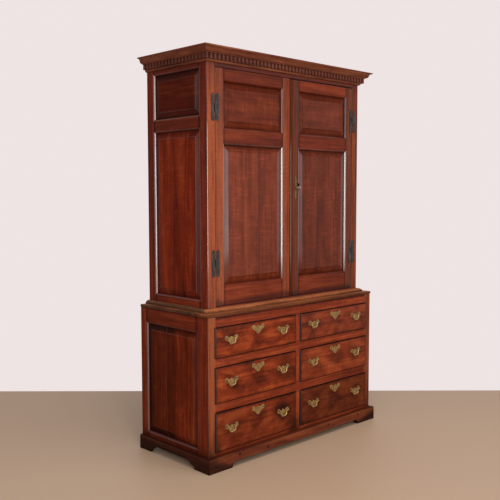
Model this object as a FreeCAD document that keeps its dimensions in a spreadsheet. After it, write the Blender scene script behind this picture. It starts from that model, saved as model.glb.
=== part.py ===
"""Linen press in oak: a panelled cupboard with two doors standing on a chest of six lipped drawers.

Millimetres, +Z up, front towards -Y, origin on the floor at the middle of the plinth.
"""
import FreeCAD, Part
import math
import os
import re
import Sketcher

doc = FreeCAD.newDocument("linen_press")
NEAR = 0.1

# Driving sizes

SIZES = {
    "total_height": 2000,
    "upper_width": 1136, "upper_depth": 464,
    "lower_width": 1248, "lower_depth": 522, "lower_height": 738,
    "top_board_thick": 14, "top_board_overhang": 3, "top_board_round": 5,
    "plinth_height": 72, "plinth_front_thick": 25, "plinth_side_thick": 16, "plinth_round": 7,
    "front_foot": 150, "apron_rise": 27, "side_front_foot": 112, "side_rear_foot": 92,
    "side_apron_rise": 36, "bracket_step": 16, "bracket_run": 62, "bracket_radius": 52,
    # Framing: mouldings worked on the edges, grooves for the panels, tenons in line with the grooves
    "frame_thick": 25, "moulding": 9, "quirk": 1, "groove_lip": 2, "groove_width": 6, "groove_deep": 9,
    "tenon_long": 26, "tenon_shoulder": 13, "panel_play": 1.5,
    "bevel_wide": 30, "bevel_rise": 5.5, "field_step": 2,
    "panel_seam": 0.6, "door_panel_seam": 224, "side_panel_seam": 149,
    "back_board_thick": 12, "back_rebate": 14, "back_board_gap": 1, "upper_back_count": 5,
    "lower_back_count": 5,
    # Upper case
    "upper_post_wide": 48, "upper_post_deep": 62, "upper_rear_post_deep": 60, "rear_post_wide": 32,
    "upper_side_top_rail": 82, "upper_side_mid_rail": 71, "upper_side_bottom_rail": 59,
    "upper_side_top_panel": 214, "upper_front_top_rail": 75, "upper_front_bottom_rail": 24,
    "case_board_thick": 16, "shelf_thick": 16, "shelf_setback": 70, "shelf_count": 3,
    "batten_high": 28, "batten_thick": 18,
    # Cornice, waist moulding
    "cornice_height": 70, "cornice_rise": 12, "cornice_reach": 60, "bed_mould": 12, "corona_reach": 30,
    "cornice_fillet": 6, "corona_fillet": 3, "cyma_radius": 13,
    "dentil_high": 26, "dentil_back_thick": 4, "dentil_tooth": 13, "dentil_pitch": 25.5, "dentil_deep": 9,
    "waist_high": 18, "waist_reach": 27, "waist_flat": 5, "waist_radius": 26,
    # Doors
    "door_gap": 2, "meeting_gap": 3, "door_stile": 60, "lock_stile": 74,
    "door_top_rail": 62, "door_mid_rail": 86, "door_bottom_rail": 104, "door_top_panel": 215,
    "meeting_bead_wide": 13, "meeting_bead_proud": 3,
    # Hinges
    "leaf_wide": 20, "leaf_half_height": 66, "leaf_thick": 2.5, "leaf_tip": 11, "leaf_tip_radius": 16,
    "leaf_gap": 4.5, "knuckle_radius": 4, "pin_radius": 2, "pin_clearance": 0.05, "knuckle_half": 20,
    "knuckle_share": 6.5, "knuckle_play": 0.3, "hinge_drop": 186, "hinge_lift": 207,
    # Door lock and key
    "lock_height": 1350, "lock_backset": 43, "lock_case_half": 40, "lock_case_deep": 15, "lock_wall": 2,
    "bolt_high": 12, "bolt_thick": 5, "bolt_above_key": 7, "bolt_play": 0.4,
    "notch_from": 8, "notch_to": 23, "notch_high": 6.5,
    "key_radius": 3, "key_clearance": 0.05, "key_hole_ease": 0.5, "key_bit": 12, "key_bit_thick": 4,
    "key_bit_in": 3, "key_bit_long": 6, "key_proud": 18, "key_bow_radius": 10, "key_bow_hole": 6.5,
    "key_bow_thick": 4,
    "door_plate_wide": 15, "door_plate_half": 64, "door_plate_thick": 1.5, "door_plate_tip": 16,
    # Lower case
    "lower_post_wide": 50, "lower_post_deep": 84, "lower_rear_post_deep": 54,
    "lower_side_top_rail": 80, "lower_side_bottom_rail": 62, "lower_side_rail_start": 40,
    "drawer_rail": 55, "drawer_bottom_rail": 54, "muntin": 50, "rear_muntin": 60, "rear_muntin_thick": 18,
    "runner_high": 20, "runner_wide": 22, "guide_high": 20, "guide_ease": 1,
    # Drawers
    "top_row": 136, "middle_row": 162, "lip_overlap": 7, "lip_proud": 8, "lip_round": 5,
    "drawer_front_thick": 17, "drawer_lap": 6, "drawer_side_thick": 11, "drawer_clear": 1.5,
    "drawer_run": 0.5, "drawer_head_room": 6, "drawer_long": 470, "drawer_bottom_thick": 8,
    "drawer_bottom_up": 10, "drawer_groove": 5, "drawer_back_thick": 11, "drawer_back_drop": 8,
    "tail_flare": 3, "tail_count": 3, "tail_share": 0.4,
    # Drawer brasses
    "handle_spread": 180, "handle_rise": 17, "bail_span": 62, "lobe_radius": 12, "drop_lobe_radius": 16,
    "plate_drop": 18, "plate_thick": 1.6, "crest_half": 9, "crest_foot": 2, "crest_radius": 10,
    "saddle_radius": 14, "flank_radius": 40,
    "post_wide": 6, "post_stem": 5, "post_clench": 3, "post_eye_radius": 4.5, "bail_out": 6.5,
    "bail_wire": 2, "bail_clearance": 0.05, "bail_pin": 5, "bail_neck": 6.5, "bail_bend": 4.5,
    "bail_drop": 26, "bail_corner": 13, "escutcheon_drop": 21, "drawer_key_hole": 2.5, "drawer_key_slot": 2.4,
    "drawer_key_slot_long": 9,
}

# Places worked out from those sizes

PLACES = {
    "back": "(lower_depth + plinth_front_thick) / 2",
    "upper_front": "back - upper_depth",
    "lower_front": "back - lower_depth",
    "upper_half": "upper_width / 2",
    "lower_half": "lower_width / 2",
    "upper_bottom": "lower_height + top_board_thick",
    "upper_top": "total_height - cornice_rise",
    "cornice_bottom": "total_height - cornice_height",
    "groove_front": "quirk + moulding + groove_lip",
    "groove_back": "groove_front + groove_width",
    "back_inside": "back - back_board_thick",
    "door_half": "upper_half - upper_post_wide",
    "opening_top": "upper_top - upper_front_top_rail",
    "opening_bottom": "upper_bottom + upper_front_bottom_rail",
    "door_top": "opening_top - door_gap",
    "door_bottom": "opening_bottom + door_gap",
    "door_edge": "door_half - door_gap",
    "meeting_edge": "meeting_gap / 2",
    "door_mid_top": "door_top - door_top_rail - door_top_panel",
    "door_mid_bottom": "door_mid_top - door_mid_rail",
    "door_back": "upper_front + frame_thick",
    "upper_mid_top": "upper_top - upper_side_top_rail - upper_side_top_panel",
    "upper_mid_bottom": "upper_mid_top - upper_side_mid_rail",
    "upper_rail_front": "upper_front + upper_post_deep",
    "upper_rail_rear": "back - upper_rear_post_deep",
    "lower_rail_front": "lower_front + lower_post_deep",
    "lower_rail_rear": "back - lower_rear_post_deep",
    "inner_half": "upper_half - frame_thick",
    "lower_inner_half": "lower_half - frame_thick",
    "hinge_x": "door_half - door_gap / 2",
    "hinge_y": "upper_front - knuckle_radius",
    "upper_hinge_z": "door_top - hinge_drop",
    "lower_hinge_z": "door_bottom + hinge_lift",
    "key_x": "meeting_edge + lock_backset",
    "drawer_inner": "muntin / 2",
    "drawer_outer": "lower_half - lower_post_wide",
    "drawer_middle": "(drawer_inner + drawer_outer) / 2",
    "top_row_top": "lower_height - drawer_rail",
    "top_row_bottom": "top_row_top - top_row",
    "middle_row_top": "top_row_bottom - drawer_rail",
    "middle_row_bottom": "middle_row_top - middle_row",
    "bottom_row_top": "middle_row_bottom - drawer_rail",
    "bottom_row_bottom": "lower_side_rail_start + drawer_bottom_rail",
    "tail_root": "lower_front + drawer_front_thick",
    "tail_tip": "lower_front + drawer_lap",
    "drawer_end": "lower_front + drawer_long",
    "lip_face": "lower_front - lip_proud",
    "plate_face": "lip_face - plate_thick",
    "bail_y": "plate_face - bail_out",
    "plinth_half": "lower_half + plinth_side_thick",
    "plinth_face": "lower_front - plinth_front_thick",
    "plinth_rear_foot": "back - side_rear_foot",
    "plinth_front_foot": "plinth_face + side_front_foot",
    "dentil_reach": "bed_mould + dentil_back_thick + dentil_deep",
    "dentil_bottom": "cornice_bottom + bed_mould",
    "corona_bottom": "bed_mould + dentil_high",
    "cyma_bottom": "corona_bottom + corona_fillet",
    "cyma_top": "cornice_height - cornice_fillet",
    "cyma_middle": "(cyma_bottom + cyma_top) / 2",
    "cyma_reach": "cornice_reach - quirk",
    "cyma_half_reach": "(corona_reach + cyma_reach) / 2",
}


def bound(text):
    """Point every name in a formula at its cell."""
    def cell(word):
        name = word[0]
        return f"dims.{name}" if name in SIZES else f"places.{name}" if name in PLACES else name
    return re.sub(r"[a-z_]+", cell, str(text))


def filled_sheet(name, cells):
    sheet = doc.addObject("Spreadsheet::Sheet", name)
    for row, (alias, content) in enumerate(cells.items(), 1):
        sheet.set(f"A{row}", alias)
        sheet.set(f"B{row}", content)
        sheet.setAlias(f"B{row}", alias)
    doc.recompute()
    return sheet


dims = filled_sheet("dims", {name: str(size) for name, size in SIZES.items()})
places = filled_sheet("places", {name: "=" + bound(formula) for name, formula in PLACES.items()})


def measured(formula):
    return float(dims.evalExpression(bound(formula)))


def bind(obj, **formulas):
    for path, formula in formulas.items():
        obj.setExpression(path.replace("_", "."), bound(formula))
    return obj


def put(obj, x="0", y="0", z="0"):
    return bind(obj, Placement_Base_x=x, Placement_Base_y=y, Placement_Base_z=z)


# Woodworker's operations

def block(name, x, y, z):
    """Squared piece, with each of x, y and z a (low, high) pair."""
    box = doc.addObject("Part::Box", name)
    sizes = [f"({high}) - ({low})" for low, high in (x, y, z)]
    bind(box, Length=sizes[0], Width=sizes[1], Height=sizes[2])
    return put(box, x[0], y[0], z[0])


def rod(name, radius, base, length, axis=(0, 0, 1)):
    """Round piece from its base point along an axis."""
    pin = doc.addObject("Part::Cylinder", name)
    pin.Placement.Rotation = FreeCAD.Rotation(FreeCAD.Vector(0, 0, 1), FreeCAD.Vector(*axis))
    bind(pin, Radius=radius, Height=length)
    return put(pin, *base)


def joined(name, *pieces):
    whole = doc.addObject("Part::MultiFuse", name)
    whole.Shapes = list(pieces)
    return whole


def group(name, pieces):
    whole = doc.addObject("Part::Compound", name)
    whole.Links = list(pieces)
    return whole


def cut(name, piece, *tools):
    """The piece with the tools' shapes taken out of it."""
    rest = doc.addObject("Part::Cut", name)
    rest.Base = piece
    rest.Tool = tools[0] if len(tools) == 1 else group(name + "_tools", tools)
    return rest


def spread(side, near, far):
    """Span between two distances from the middle plane, on the left (-1) or right (1) side."""
    return (near, far) if side > 0 else (f"-({far})", f"-({near})")


def arc_between(start, end, radius, hint):
    """Short arc from start to end that bulges towards the hint; also whether it runs from start to end."""
    middle = (start + end) / 2
    chord = end - start
    across = FreeCAD.Vector(-chord.y, chord.x, 0).normalize()
    if (hint - middle).dot(across) > 0:
        across = -across
    centre = middle + across * math.sqrt(max(radius ** 2 - (chord.Length / 2) ** 2, 0))
    angles = [math.atan2(point.y - centre.y, point.x - centre.x) for point in (start, end)]
    forward = (start - centre).cross(end - centre).z > 0
    first, last = angles if forward else angles[::-1]
    if last < first:
        last += 2 * math.pi
    circle = Part.Circle(centre, FreeCAD.Vector(0, 0, 1), radius)
    return Part.ArcOfCircle(circle, first, last), forward


def drawn(body, name, plane, points, closed=True):
    """Sketch through the points; a point with (radius, hint) after it starts an arc."""
    sketch = body.newObject("Sketcher::SketchObject", name)
    support = [feature for feature in body.Origin.OriginFeatures if feature.Role == plane]
    sketch.AttachmentSupport = [(support[0], "")]
    sketch.MapMode = "FlatFace"
    spots = [FreeCAD.Vector(measured(point[0]), measured(point[1]), 0) for point in points]
    last = len(points) if closed else len(points) - 1
    ends = []
    for index in range(last):
        start, end = spots[index], spots[(index + 1) % len(spots)]
        if len(points[index]) == 2:
            sketch.addGeometry(Part.LineSegment(start, end))
            ends.append((1, 2))
            continue
        radius, hint_a, hint_b = points[index][2:]
        hint = FreeCAD.Vector(measured(hint_a), measured(hint_b), 0)
        curve, forward = arc_between(start, end, measured(radius), hint)
        sketch.addGeometry(curve)
        ends.append((1, 2) if forward else (2, 1))
    for index in range(last if closed else last - 1):
        follower = (index + 1) % last
        sketch.addConstraint(Sketcher.Constraint("Coincident", index, ends[index][1],
                                                 follower, ends[follower][0]))
    for index, point in enumerate(points):
        edge, end = (index, ends[index][0]) if index < last else (last - 1, ends[last - 1][1])
        for kind, formula in zip(("DistanceX", "DistanceY"), point):
            number = sketch.addConstraint(Sketcher.Constraint(kind, -1, 1, edge, end, measured(formula)))
            sketch.setExpression(f"Constraints[{number}]", bound(formula))
        if len(point) > 2:
            number = sketch.addConstraint(Sketcher.Constraint("Radius", index, measured(point[2])))
            sketch.setExpression(f"Constraints[{number}]", bound(point[2]))
    return sketch


def profiled(name, plane, points, start, end):
    """Outline carried along the axis square to its plane, from start to end."""
    body = doc.addObject("PartDesign::Body", name)
    sketch = drawn(body, name + "_outline", plane, points)
    pad = body.newObject("PartDesign::Pad", name + "_pad")
    pad.Profile = sketch
    bind(pad, Length=f"({end}) - ({start})")
    home = {"XY_Plane": {"z": start}, "YZ_Plane": {"x": start}, "XZ_Plane": {"y": end}}
    put(body, **home[plane])
    return body


def rounded(body, name, radius, chosen):
    """Round the edges of the body's last feature whose middle passes the chosen test."""
    doc.recompute()
    base = body.Tip
    edges = base.Shape.Edges
    picked = [f"Edge{number}" for number, edge in enumerate(edges, 1)
              if chosen(body.Placement.multVec(edge.CenterOfMass), edge)]
    fillet = body.newObject("PartDesign::Fillet", name)
    fillet.Base = (base, picked)
    bind(fillet, Radius=radius)
    return body


def laid(points, to):
    """Profile points (across, in) put in place by to(across, in)."""
    result = []
    for point in points:
        entry = to(*point[:2])
        if len(point) > 2:
            entry += (point[2],) + to(*point[3:])
        result.append(entry)
    return result


def one_edge(width, thick):
    """Framing section with the moulding and panel groove on its far edge."""
    face = f"{width} - moulding"
    floor = f"{width} - groove_deep"
    return [("0", "0"), (face, "0"), (face, "quirk", "moulding", width, "0"), (width, "quirk + moulding"),
            (width, "groove_front"), (floor, "groove_front"), (floor, "groove_back"), (width, "groove_back"),
            (width, thick), ("0", thick)]


def two_edges(width, thick):
    """Framing section with a moulding and a groove on both edges."""
    far = one_edge(width, thick)[1:9]
    return far + [("0", thick), ("0", "groove_back"), ("groove_deep", "groove_back"),
                  ("groove_deep", "groove_front"), ("0", "groove_front"),
                  ("0", "quirk + moulding", "moulding", "0", "0"), ("moulding", "quirk"), ("moulding", "0")]


def fielded_panel(name, face, low, high, bottom, top, seam):
    """Raised panel: tongue in the grooves, bevelled margin, flat field.

    low and high are its sight edges, and seam is the place of the joint where it is of two boards.
    """
    tongue = "groove_deep - panel_play"
    spans = {}
    bevel = doc.addObject("Part::Wedge", name + "_bevel")
    rises = {"tongue": ("groove_front", "groove_back"),
             "field": ("groove_front - bevel_rise - field_step", "groove_back"),
             "kerf": ("groove_front - bevel_rise - field_step - quirk", "groove_back + quirk")}
    for layer, (near, far) in rises.items():
        if face == "front":
            spans[layer] = (f"upper_front + {near}", f"upper_front + {far}")
        else:
            side, half = face
            spans[layer] = spread(side, f"{half} - ({far})", f"{half} - ({near})")
    margins = {"tongue": f"-({tongue})", "field": "bevel_wide"}
    floors = {"tongue": "-groove_deep", "field": "bevel_wide"}
    layers = []
    for layer, margin in margins.items():
        along = (f"{low} + {margin}", f"{high} - ({margin})")
        tall = (f"{bottom} + {floors[layer]}", f"{top} - ({margin})")
        x, y = (along, spans[layer]) if face == "front" else (spans[layer], along)
        layers.append(block(f"{name}_{layer}", x, y, tall))
    width, height = f"({high}) - ({low})", f"({top}) - ({bottom})"
    bind(bevel, Xmin="bevel_wide", Xmax=f"{width} - bevel_wide",
         Zmin="bevel_wide", Zmax=f"{height} - bevel_wide",
         Ymin="0", Ymax="bevel_rise", X2min="0", X2max=width, Z2min="0", Z2max=height)
    if face == "front":
        put(bevel, low, "upper_front + groove_front - bevel_rise", bottom)
    else:
        side, half = face
        bevel.Placement.Rotation = FreeCAD.Rotation(FreeCAD.Vector(0, 0, 1), 90 * side)
        put(bevel, f"{side} * ({half} - groove_front + bevel_rise)", low if side > 0 else high, bottom)
    panel = joined(name, bevel, *layers)
    if seam is None:
        return panel
    along = (f"{seam} - panel_seam / 2", f"{seam} + panel_seam / 2")
    x, y = (along, spans["kerf"]) if face == "front" else (spans["kerf"], along)
    kerf = block(f"{name}_kerf", x, y, (f"{bottom} - groove_deep - quirk", f"{top} + groove_deep"))
    return cut(f"{name}_boards", panel, kerf)


NODES = []


def node(label, pieces):
    """One named sub-part: a single piece, or a group of separate like pieces."""
    whole = pieces[0] if len(pieces) == 1 else group(label + "_group", pieces)
    whole.Label = label
    NODES.append(whole)
    return whole


# Framed sides of the two cases: front and rear posts, rails scribed over the posts' mouldings, panels

def side_tenon(name, side, half, y, z):
    return block(name, spread(side, f"{half} - groove_back", f"{half} - groove_front"), y, z)


def framed_side(case, side, spec):
    """One side of a case. Rails are (name, bottom, top, edges): edges says which of them are moulded."""
    hand = "left" if side < 0 else "right"
    half, front = spec["half"], spec["front"]
    stem = f"{case}_{hand}"
    tenons = {"front": [], "rear": []}
    raw_rails = []
    for rail, bottom, top, edges in spec["rails"]:
        height = f"({top}) - ({bottom})"
        section = two_edges(height, "frame_thick") if edges == "both" else one_edge(height, "frame_thick")

        def to(across, inward, low=bottom, high=top, moulded=edges):
            z = f"{high} - ({across})" if moulded == "lower" else f"{low} + {across}"
            return (f"{side} * ({half} - ({inward}))", z)
        body = profiled(f"{stem}_{rail}_rail", "XZ_Plane", laid(section, to),
                        f"{spec['rail_front']} - moulding", f"{spec['rail_rear']} + moulding")
        tall = (f"{bottom} + tenon_shoulder", f"{top} - tenon_shoulder")
        ends = {"front": (f"{spec['rail_front']} - tenon_long", f"{spec['rail_front']}"),
                "rear": (f"{spec['rail_rear']}", f"{spec['rail_rear']} + tenon_long")}
        pair = []
        for end, y in ends.items():
            tenon = side_tenon(f"{stem}_{rail}_{end}_tenon", side, half, y, tall)
            tenons[end].append(tenon)
            pair.append(tenon)
        raw_rails.append((rail, joined(f"{stem}_{rail}_rail_with_tenons", body, *pair)))

    def front_post(across, inward):
        return (f"{side} * ({half} - ({inward}))", f"{front} + {across}")

    def rear_post(across, inward):
        return (f"{side} * ({half} - ({inward}))", f"back - ({across})")
    bottom, top = spec["post"]
    front_body = profiled(f"{stem}_front_post_body", "XY_Plane",
                          laid(one_edge(spec["post_deep"], spec["post_wide"]), front_post), bottom, top)
    rear_body = profiled(f"{stem}_rear_post_body", "XY_Plane",
                         laid(one_edge(spec["rear_deep"], "rear_post_wide"), rear_post), bottom, top)
    rebate = block(f"{stem}_back_rebate", spread(side, f"{half} - rear_post_wide", f"{half} - back_rebate"),
                   ("back_inside", "back"), spec["rebate"])
    front_piece = cut(f"{stem}_front_post", front_body, *tenons["front"], *spec["mortises"][side])
    rear_piece = cut(f"{stem}_rear_post", rear_body, *tenons["rear"], rebate)
    posts = [front_piece, rear_piece]
    rails = [cut(f"{stem}_{rail}_rail_scribed", raw, *posts) for rail, raw in raw_rails]
    panels = [fielded_panel(f"{stem}_{name}_panel", (side, half), spec["rail_front"], spec["rail_rear"],
                            low, high, seam) for name, low, high, seam in spec["panels"]]
    return posts, rails, panels


def cross_rail(name, half, front, bottom, top, shoulder):
    """Rail across the front between the posts, with a tenon at each end."""
    body = block(name + "_body", (f"-({half})", half), (front, f"{front} + frame_thick"), (bottom, top))
    tenons = [block(f"{name}_tenon_{side}", spread(side, half, f"{half} + tenon_long"),
                    (f"{front} + groove_lip + quirk", f"{front} + groove_lip + quirk + groove_width"),
                    (f"{bottom} + {shoulder}", f"{top} - {shoulder}")) for side in (-1, 1)]
    return joined(name, body, *tenons), tenons


def backing(stem, half, count, bottom, top):
    """Upright boards across the back, a shrinkage gap apart, in the posts' rebates."""
    total = measured(count)
    width = f"2 * ({half} - back_rebate) / {count}"
    return [block(f"{stem}_back_board_{index}", (f"back_rebate - {half} + {index} * {width}",
                  f"back_rebate - {half} + {index + 1} * {width} - back_board_gap"),
                  ("back_inside", "back"), (bottom, top)) for index in range(int(total))]


def upper_case():
    front_rails = []
    mortises = {-1: [], 1: []}
    levels = [("top", "opening_top", "upper_top", "tenon_shoulder"),
              ("bottom", "upper_bottom", "opening_bottom", "quirk + groove_lip")]
    for name, bottom, top, shoulder in levels:
        rail, tenons = cross_rail(f"upper_front_{name}_rail", "door_half", "upper_front",
                                  bottom, top, shoulder)
        front_rails.append(rail)
        mortises[-1].append(tenons[0])
        mortises[1].append(tenons[1])
    spec = {
        "half": "upper_half", "front": "upper_front", "rail_front": "upper_rail_front",
        "rail_rear": "upper_rail_rear", "post": ("upper_bottom", "upper_top"),
        "rebate": ("upper_bottom", "upper_top"),
        "post_deep": "upper_post_deep", "post_wide": "upper_post_wide", "rear_deep": "upper_rear_post_deep",
        "mortises": mortises,
        "rails": [("top", "upper_top - upper_side_top_rail", "upper_top", "lower"),
                  ("mid", "upper_mid_bottom", "upper_mid_top", "both"),
                  ("bottom", "upper_bottom", "upper_bottom + upper_side_bottom_rail", "upper")],
        "panels": [("top", "upper_mid_top", "upper_top - upper_side_top_rail", None),
                   ("long", "upper_bottom + upper_side_bottom_rail", "upper_mid_bottom", None)],
    }
    posts, rails, panels = [], [], []
    for side in (-1, 1):
        for found, kept in zip(framed_side("upper", side, spec), (posts, rails, panels)):
            kept += found
    node("upper_posts", posts)
    node("upper_rails", rails + front_rails)
    node("upper_side_panels", panels)

    across = ("-inner_half", "inner_half")
    deep = ("upper_front + frame_thick", "back_inside")
    ends = {"floor": ("opening_bottom - case_board_thick", "opening_bottom"),
            "roof": ("upper_top - case_board_thick", "upper_top")}
    node("upper_boards", [cut(f"upper_{name}", block(f"upper_{name}_board", across, deep, tall), *posts)
                          for name, tall in ends.items()])
    node("upper_back_boards", backing("upper", "upper_half", "upper_back_count", "upper_bottom", "upper_top"))

    shelf_front = "upper_front + shelf_setback"
    rear_posts = [post for post in posts if "rear" in post.Name]
    pieces = []
    for number in range(1, SIZES["shelf_count"] + 1):
        level = f"opening_bottom + (opening_top - opening_bottom) * {number} / (shelf_count + 1)"
        shelf = block(f"shelf_{number}_board", across, (shelf_front, "back_inside"),
                      (level, f"{level} + shelf_thick"))
        pieces.append(cut(f"shelf_{number}", shelf, *rear_posts))
        pieces += [block(f"batten_{number}_{side}", spread(side, "inner_half - batten_thick", "inner_half"),
                         (shelf_front, "upper_rail_rear"), (f"{level} - batten_high", level))
                   for side in (-1, 1)]
    node("shelves", pieces)


# Mitred mouldings round three sides

def mitre_wedges(stem, half, front, side_reach, front_reach, bottom, top):
    """For each front corner, the wedges that trim the front length and the side length to one mitre."""
    trims = {"front": [], -1: [], 1: []}
    for side in (-1, 1):
        inner = (f"{side} * {half}", front)
        outer = (f"{side} * ({half} + 2 * ({side_reach}))", f"{front} - 2 * ({front_reach})")
        corners = {"front": (outer[0], front), side: (inner[0], outer[1])}
        for piece, corner in corners.items():
            name = f"{stem}_mitre_{'left' if side < 0 else 'right'}_{'front' if piece == 'front' else 'side'}"
            trims[piece].append(profiled(name, "XY_Plane", [inner, outer, corner], bottom, top))
    return trims


def moulding_round(stem, section, half, front, reach, level, height):
    """A moulding section run along the front and both sides, mitred at the front corners."""
    trims = mitre_wedges(stem, half, front, reach, reach, level, f"{level} + {height}")

    def along_front(out, up):
        return (f"{front} - ({out})", f"{level} + {up}")
    lengths = [cut(f"{stem}_front", profiled(f"{stem}_front_length", "YZ_Plane", laid(section, along_front),
                                             f"-{half} - {reach}", f"{half} + {reach}"), *trims["front"])]
    for side in (-1, 1):
        def along_side(out, up, side=side):
            return (f"{side} * ({half} + {out})", f"{level} + {up}")
        hand = "left" if side < 0 else "right"
        length = profiled(f"{stem}_{hand}_length", "XZ_Plane", laid(section, along_side),
                          f"{front} - {reach}", "back")
        lengths.append(cut(f"{stem}_{hand}", length, *trims[side]))
    return lengths


def toothed_strip(name, plane, along_start, along_length, axis, to):
    """Dentil course: a thin backing strip with square teeth repeated along it."""
    body = doc.addObject("PartDesign::Body", name)
    reaches = {"strip": ("bed_mould", "bed_mould + dentil_back_thick", along_length),
               "tooth": ("bed_mould", "dentil_reach", "dentil_tooth")}
    for layer, (near, far, length) in reaches.items():
        start = along_start if layer == "strip" else f"{along_start} + (({along_length}) - dentil_pitch " \
            f"* floor(({along_length} - dentil_tooth) / dentil_pitch) - dentil_tooth) / 2"
        end = f"{start} + {length}"
        corners = [to(near, start), to(far, start), to(far, end), to(near, end)]
        sketch = drawn(body, f"{name}_{layer}_outline", plane, corners)
        pad = body.newObject("PartDesign::Pad", f"{name}_{layer}")
        pad.Profile = sketch
        bind(pad, Length="dentil_high")
    doc.recompute()
    pattern = body.newObject("PartDesign::LinearPattern", f"{name}_teeth")
    pattern.Originals = [pad]
    direction = [feature for feature in body.Origin.OriginFeatures if feature.Role == axis]
    pattern.Direction = (direction[0], [""])
    bind(pattern, Length=f"dentil_pitch * floor(({along_length} - dentil_tooth) / dentil_pitch)",
         Occurrences=f"floor(({along_length} - dentil_tooth) / dentil_pitch) + 1")
    body.Tip = pattern
    return put(body, z="dentil_bottom")


def cornice():
    section = [("0", "0"), ("quirk", "0", "bed_mould - quirk", "bed_mould", "0"),
               ("bed_mould", "bed_mould - quirk"), ("bed_mould", "corona_bottom"),
               ("corona_reach", "corona_bottom"),
               ("corona_reach", "cyma_bottom", "cyma_radius", "cyma_half_reach", "cyma_bottom"),
               ("cyma_half_reach", "cyma_middle", "cyma_radius", "cyma_half_reach", "cyma_top"),
               ("cyma_reach", "cyma_top"), ("cornice_reach", "cyma_top"), ("cornice_reach", "cornice_height"),
               ("0", "cornice_height")]
    node("cornice", moulding_round("cornice", section, "upper_half", "upper_front", "cornice_reach",
                                   "cornice_bottom", "cornice_height"))
    courses = [toothed_strip("dentils_front", "XY_Plane", "-upper_half - dentil_reach",
                             "upper_width + 2 * dentil_reach", "X_Axis",
                             lambda out, along: (along, f"upper_front - ({out})"))]
    for side in (-1, 1):
        courses.append(toothed_strip(f"dentils_{'left' if side < 0 else 'right'}", "XY_Plane",
                                     "upper_front - bed_mould", "upper_depth + bed_mould", "Y_Axis",
                                     lambda out, along, side=side: (f"{side} * (upper_half + {out})", along)))
    node("dentil_courses", courses)


def waist():
    section = [("0", "0"), ("waist_reach", "0"),
               ("waist_reach", "waist_flat", "waist_radius", "waist_reach", "waist_high"),
               ("waist_flat", "waist_high"), ("0", "waist_high")]
    node("waist_moulding", moulding_round("waist", section, "upper_half", "upper_front", "waist_reach",
                                          "upper_bottom", "waist_high"))
    corners = [("-lower_half - top_board_overhang", "lower_front - top_board_overhang"),
               ("lower_half + top_board_overhang", "lower_front - top_board_overhang"),
               ("lower_half + top_board_overhang", "back"), ("-lower_half - top_board_overhang", "back")]
    board = profiled("lower_top", "XY_Plane", corners, "lower_height", "upper_bottom")
    rear = measured("back")

    def level_and_seen(middle, edge):
        return abs(edge.Vertexes[0].Z - edge.Vertexes[-1].Z) < NEAR and middle.y < rear - NEAR
    rounded(board, "lower_top_nosing", "top_board_round", level_and_seen)
    node("lower_top_board", [board])


# Doors

def door(hand):
    side = -1 if hand == "left" else 1
    edge = "door_edge"
    inner_stile = "door_stile" if hand == "left" else "lock_stile"
    sight_outer = f"{edge} - door_stile"
    sight_inner = f"meeting_edge + {inner_stile}"

    def outer(across, inward):
        return (f"{side} * ({edge} - ({across}))", f"upper_front + {inward}")

    def inner(across, inward):
        return (f"{side} * (meeting_edge + {across})", f"upper_front + {inward}")
    rails = [("top", "door_top - door_top_rail", "door_top", "lower"),
             ("mid", "door_mid_bottom", "door_mid_top", "both"),
             ("bottom", "door_bottom", "door_bottom + door_bottom_rail", "upper")]
    span = spread(side, f"{sight_inner} - moulding", f"{sight_outer} + moulding")
    tenons = {"inner": [], "outer": []}
    raw_rails = []
    for rail, bottom, top, edges in rails:
        height = f"({top}) - ({bottom})"
        section = two_edges(height, "frame_thick") if edges == "both" else one_edge(height, "frame_thick")

        def to(across, inward, low=bottom, high=top, moulded=edges):
            z = f"{high} - ({across})" if moulded == "lower" else f"{low} + {across}"
            return (f"upper_front + {inward}", z)
        body = profiled(f"{hand}_door_{rail}_rail", "YZ_Plane", laid(section, to), *span)
        deep = ("upper_front + groove_front", "upper_front + groove_back")
        tall = (f"{bottom} + tenon_shoulder", f"{top} - tenon_shoulder")
        ends = {"inner": spread(side, f"{sight_inner} - tenon_long", sight_inner),
                "outer": spread(side, sight_outer, f"{sight_outer} + tenon_long")}
        pair = []
        for end, x in ends.items():
            tenon = block(f"{hand}_door_{rail}_{end}_tenon", x, deep, tall)
            tenons[end].append(tenon)
            pair.append(tenon)
        raw_rails.append((rail, joined(f"{hand}_door_{rail}_with_tenons", body, *pair)))
    mortises = {"inner": list(tenons["inner"]), "outer": list(tenons["outer"])}
    if hand == "right":
        mortises["inner"] += key_way("stile", "upper_front", "door_back")
    stiles = []
    for name, width, to in (("outer", "door_stile", outer), ("inner", inner_stile, inner)):
        body = profiled(f"{hand}_door_{name}_stile_body", "XY_Plane",
                        laid(one_edge(width, "frame_thick"), to), "door_bottom", "door_top")
        stiles.append(cut(f"{hand}_door_{name}_stile", body, *mortises[name]))
    scribed = [cut(f"{hand}_door_{rail}_scribed", raw, *stiles) for rail, raw in raw_rails]
    low, high = spread(side, sight_inner, sight_outer)
    spans = [("top", "door_mid_top", "door_top - door_top_rail", None),
             ("long", "door_bottom + door_bottom_rail", "door_mid_bottom", f"{side} * door_panel_seam")]
    panels = [fielded_panel(f"{hand}_door_{name}_panel", "front", low, high, bottom, top, seam)
              for name, bottom, top, seam in spans]
    if hand == "right":
        stiles.append(meeting_bead())
    node(f"{hand}_door_stiles", stiles)
    node(f"{hand}_door_rails", scribed)
    node(f"{hand}_door_panels", panels)


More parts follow.
